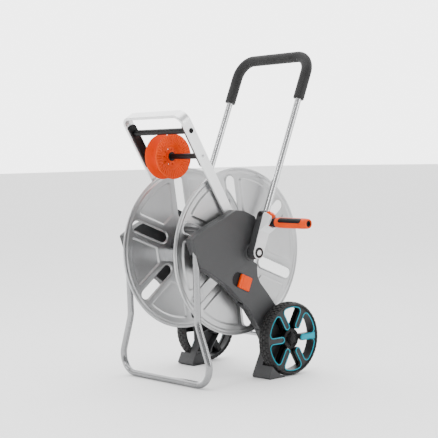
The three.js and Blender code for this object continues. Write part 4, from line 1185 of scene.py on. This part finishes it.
def make_crank():
    """A dark arm under a pale cover, whose fork holds the folding grip."""

    def outline(end, corner):
        return rounded([(-17, -17, 17), (end, -19, corner), (end, 19, corner), (-17, 17, 17)], 7)

    cavity = box_shell(DRUM, ARM_SIDE, (163, 225), (72, 125), (-10, 10))
    pin_hole = bore(4.3, -30, 30, PIN, ARM_FRONT)
    pin_seat = bore(7.1, 16, 30, PIN, ARM_FRONT)
    body = Shell().slab(
        outline(115, 15), DRUM, ARM_FACE, 160.5, 23.2, bevel=0.6, back_bevel=2.2, steps=4
    )
    arm = finished("crank_arm", body, "drum", "cheek")
    shaft_hole = bore(10, 150, 182.3, DRUM)
    panel = Shell().slab(
        rounded([(164.5, 14, 3), (179.5, 14, 3), (179.5, 84, 3), (164.5, 84, 3)], 10),
        DRUM, ARM_SIDE, 17.2, 5,
    )
    cut(arm, cavity, shaft_hole, pin_hole, pin_seat, panel)

    plate = Shell().slab(
        outline(109, 9), DRUM, ARM_FACE, 184, 3, bevel=1.3, back_bevel=0.3, steps=4
    )
    cover = finished("crank_cover", plate, "drum", "light")
    cut(cover, bore(14.3, 180, 192, DRUM), cavity)
    profile = rounded(
        [(184.2, 55, 2), (196, 64, 8), (209, 76, 8), (213, 88, 8), (209, 99, 6), (184.2, 109, 2)], 7
    )
    fork = Shell().slab(profile, DRUM, ARM_SIDE, -18, 36, bevel=1.8, steps=4)
    ears = finished("crank_fork", fork, "drum", "light", stands_in=False)
    cut(ears, cavity, pin_hole)

    ring = Shell().lathe(
        [(7.8, 184.3), (14, 184.3), (14, 188.2), (13.5, 188.7), (8.3, 188.7), (7.8, 188.2)],
        DRUM, 60, closed=True,
    )
    finished("crank_hub_ring", ring, "drum", "black")
    cap = Shell().lathe(
        [(0, 184.3), (7.5, 184.3), (7.5, 187.8), (6.9, 188.5), (5, 188.8), (0, 188.9)], DRUM, 60
    )
    finished("crank_hub_cap", cap, "drum", "light")
    pin = Shell().lathe(
        [(0, -17), (3.4, -17), (4, -16.4), (4, 16.3), (6.8, 16.3), (6.8, 18.8), (6.2, 19.5),
         (3.4, 19.8), (3, 19.2), (0, 19.2)],
        PIN, 48, ARM_FRONT,
    )
    finished("crank_hinge_pin", pin, "drum", "black")

    px, pa, grip_at = PIN.x, (PIN - DRUM).dot(ARM_OUT), (GRIP - DRUM).dot(ARM_OUT)
    profile = rounded(
        [(px - 9, pa + 9.4, 8), (px - 9, pa - 9, 6), (px + 8, grip_at - 8, 6),
         (204, grip_at - 7, 2), (204, grip_at + 22, 4), (px + 19, pa + 13.8, 3),
         (px + 14.5, pa + 9.4, 3)], 6,
    )
    block = Shell().slab(profile, DRUM, ARM_SIDE, -9.6, 19.2, bevel=1.2)
    hinge = finished("hinge_block", block, "crank_fold", "orange")
    cut(hinge, pin_hole)

    collar = Shell().lathe(
        [(5.3, 204.4), (9.2, 204.4), (9.6, 204.8), (9.6, 216), (10, 216.8), (12.8, 217),
         (13.5, 217.6), (13.4, 219.4), (12.8, 220), (12.6, 223), (12, 224), (5.3, 224)],
        GRIP, 60, closed=True,
    )
    finished("grip_collar", collar, "crank_fold", "black")
    spindle = rod_shell(5, 188.4, 330, GRIP)
    finished("grip_spindle", spindle, "crank_fold", "steel")
    sleeve = Shell().lathe(
        [(5.3, 224.5), (11.8, 224.5), (12.6, 225.2), (13.1, 228), (13.8, 233), (14, 240), (14, 290),
         (13.9, 318), (13.6, 330), (13.2, 335), (12.4, 338.2), (11.6, 339.6), (10.6, 340),
         (9.2, 340), (8.6, 339.4), (8.6, 332), (5.3, 332)],
        GRIP, 72, closed=True,
    )
    finished("grip_sleeve", sleeve, "crank_grip", "orange")

    long, half = (238.0, 322.0), 8.2
    for name, side in (("grip_inlay_top", 1), ("grip_inlay_bottom", -1)):
        out = (ARM_FRONT * math.cos(INLAY_TURN) + ARM_OUT * math.sin(INLAY_TURN)) * side
        across = AXIS_X.cross(out)
        rows = []
        for i in range(41):
            t = i / 40
            x = long[0] + (long[1] - long[0]) * t
            near_end = min(x - long[0], long[1] - x)
            short = max(0, half - near_end)
            width = math.sqrt(max(0, half**2 - short**2))
            spread = math.asin(min(0.98, width / 14.1))
            fall = min(1.0, near_end / 1.2)
            row = []
            for layer in (1, -1):
                for j in range(13):
                    s = (j / 6 - 1) * layer
                    edge = min(1.0, (1 - abs(s)) * width / 0.9) * fall
                    radius = 12.4 if layer < 0 else 13.7 + 0.65 * math.sqrt(edge)
                    angle = spread * s
                    radial = out * math.cos(angle) + across * math.sin(angle)
                    row.append(GRIP + AXIS_X * x + radial * radius)
            rows.append(row)
        inlay = Shell().grid(rows)
        finished(name, inlay, "crank_grip", "black", 40)
    cap = Shell().lathe(
        [(0, 332.3), (8.2, 332.3), (8.2, 337.6), (7.6, 338.2), (5.6, 338.2), (5, 337.6), (5, 334.6),
         (0, 334.6)],
        GRIP, 60,
    )
    finished("grip_end_cap", cap, "crank_grip", "black")


# ------------------------------------------------------------------ water inlet
def make_inlet():
    down = Vector((0, -0.5, -0.866)).normalized()
    normal = -square_to(down)
    corner = DRUM - AXIS_X * 178
    path = bent_path([DRUM - AXIS_X * 160.6, corner, corner + down * 52], [13], 6)
    elbow = Shell().sweep(path, normal, circle(11, 40), circle(3.6, 40), 0.9)
    spigot = rod_shell(5.7, -163, -132, DRUM)
    washer = rod_shell(13, -165, -160.8, DRUM, chamfer=0.5)
    elbow.join(spigot, washer)
    finished("inlet_elbow", elbow, "inlet", "light")
    ribs = 30

    def ripple(k, _, radius, along):
        return (radius + 0.8 if radius == 16 and k % 4 in (0, 1) else radius), along

    nut = Shell().lathe(
        [(11.3, 27), (13.8, 27), (14.5, 27.8), (15.4, 29.4), (16, 30.6), (16, 43.6), (15.4, 45.4),
         (14.5, 47), (14.5, 61.4), (14, 62.6), (12.8, 64), (8, 64), (8, 52.4), (11.3, 52.4)],
        corner, ribs * 4, down, closed=True, ripple=ripple,
    )
    finished("inlet_connector", nut, "inlet", "orange")


make_flanges()
make_core()
make_bars()
make_shaft()
make_cheeks()
make_latches()
make_handle()
make_foot()
make_bail()
make_pulley()
make_wheels()
make_crank()
make_inlet()


# ------------------------------------------------------------------ floor, light and camera
def make_floor():
    mesh = bpy.data.meshes.new("floor")
    reach = 40.0
    corners = [(x * reach, y * reach, 0) for x, y in ((-1, -1), (1, -1), (1, 1), (-1, 1))]
    mesh.from_pydata(corners, [], [(0, 1, 2, 3)])
    floor = placed("floor", mesh)
    paint, tree, inputs = principled("floor_paint", (0.93, 0.93, 0.93), 0.8, specular=0.15)
    shade = mixed(tree, noise(tree, 3.0), (0.92, 0.92, 0.92), (0.94, 0.94, 0.94))
    tree.links.new(shade, inputs["Base Color"])
    mesh.materials.append(paint)


LAMP_TARGET = Vector((-0.07, -0.02, 0.42))


def area_light(name, where, size, power):
    lamp = bpy.data.lights.new(name, "AREA")
    lamp.shape = "RECTANGLE"
    lamp.size, lamp.size_y = size
    lamp.energy = power
    holder = placed(name, lamp)
    holder.location = where
    holder.rotation_euler = (Vector(where) - LAMP_TARGET).to_track_quat("Z", "Y").to_euler()


# The way from the cart to the brightest part of the surround.
BRIGHT_WAY = (-0.7, 0.66, 0.28)


def make_studio():
    """A surround bright behind the cart, with tall soft strips that draw lines on the tubes."""
    world = bpy.data.worlds.new("studio")
    bpy.context.scene.world = world
    world.use_nodes = True
    tree = world.node_tree
    ramp = node(tree, "ValToRGB")
    facing = node(tree, "VectorMath")
    facing.operation = "DOT_PRODUCT"
    facing.inputs[1].default_value = BRIGHT_WAY
    tree.links.new(node(tree, "TexCoord").outputs["Generated"], facing.inputs[0])
    spread = ranged(tree, facing.outputs["Value"], 0, 1, -1, 1)
    tree.links.new(spread, ramp.inputs["Fac"])
    stops = ramp.color_ramp.elements
    stops[0].position, stops[1].position = 0.1, 0.88
    stops.new(0.55)
    for stop, grey in zip(stops, (0.13, 0.15, 1)):
        stop.color = (grey, grey, grey, 1)
    back = tree.nodes["Background"].inputs
    back["Strength"].default_value = 4.5
    tree.links.new(ramp.outputs["Color"], back["Color"])
    area_light("key_strip", (0.6, -3.2, 2.4), (0.4, 1.8), 36)
    area_light("right_strip", (3.3, 1.6, 1.5), (1.0, 2.4), 48)
    area_light("left_strip", (-1.6, -3.0, 1.0), (0.4, 1.8), 22)
    area_light("top", (0.2, -0.4, 3.4), (2.4, 2.4), 60)


# The camera stands in metres from the drum's joint, and its angles are in degrees.
LENS = 98.63
CAMERA_PLACE = Vector((2.4660, -2.1770, 0.2601))
CAMERA_HEADING, CAMERA_DIP, CAMERA_ROLL = 48.2, 3.07, -1.16


def make_camera():
    lens = bpy.data.cameras.new("photo_camera")
    lens.lens = LENS
    lens.sensor_width = 36
    camera = placed("photo_camera", lens)
    turn = (
        Matrix.Rotation(math.radians(CAMERA_HEADING), 4, "Z")
        @ Matrix.Rotation(math.radians(90 - CAMERA_DIP), 4, "X")
        @ Matrix.Rotation(math.radians(CAMERA_ROLL), 4, "Z")
    )
    camera.matrix_world = Matrix.Translation(DRUM_JOINT + CAMERA_PLACE) @ turn
    bpy.context.scene.camera = camera


make_floor()
make_studio()
make_camera()
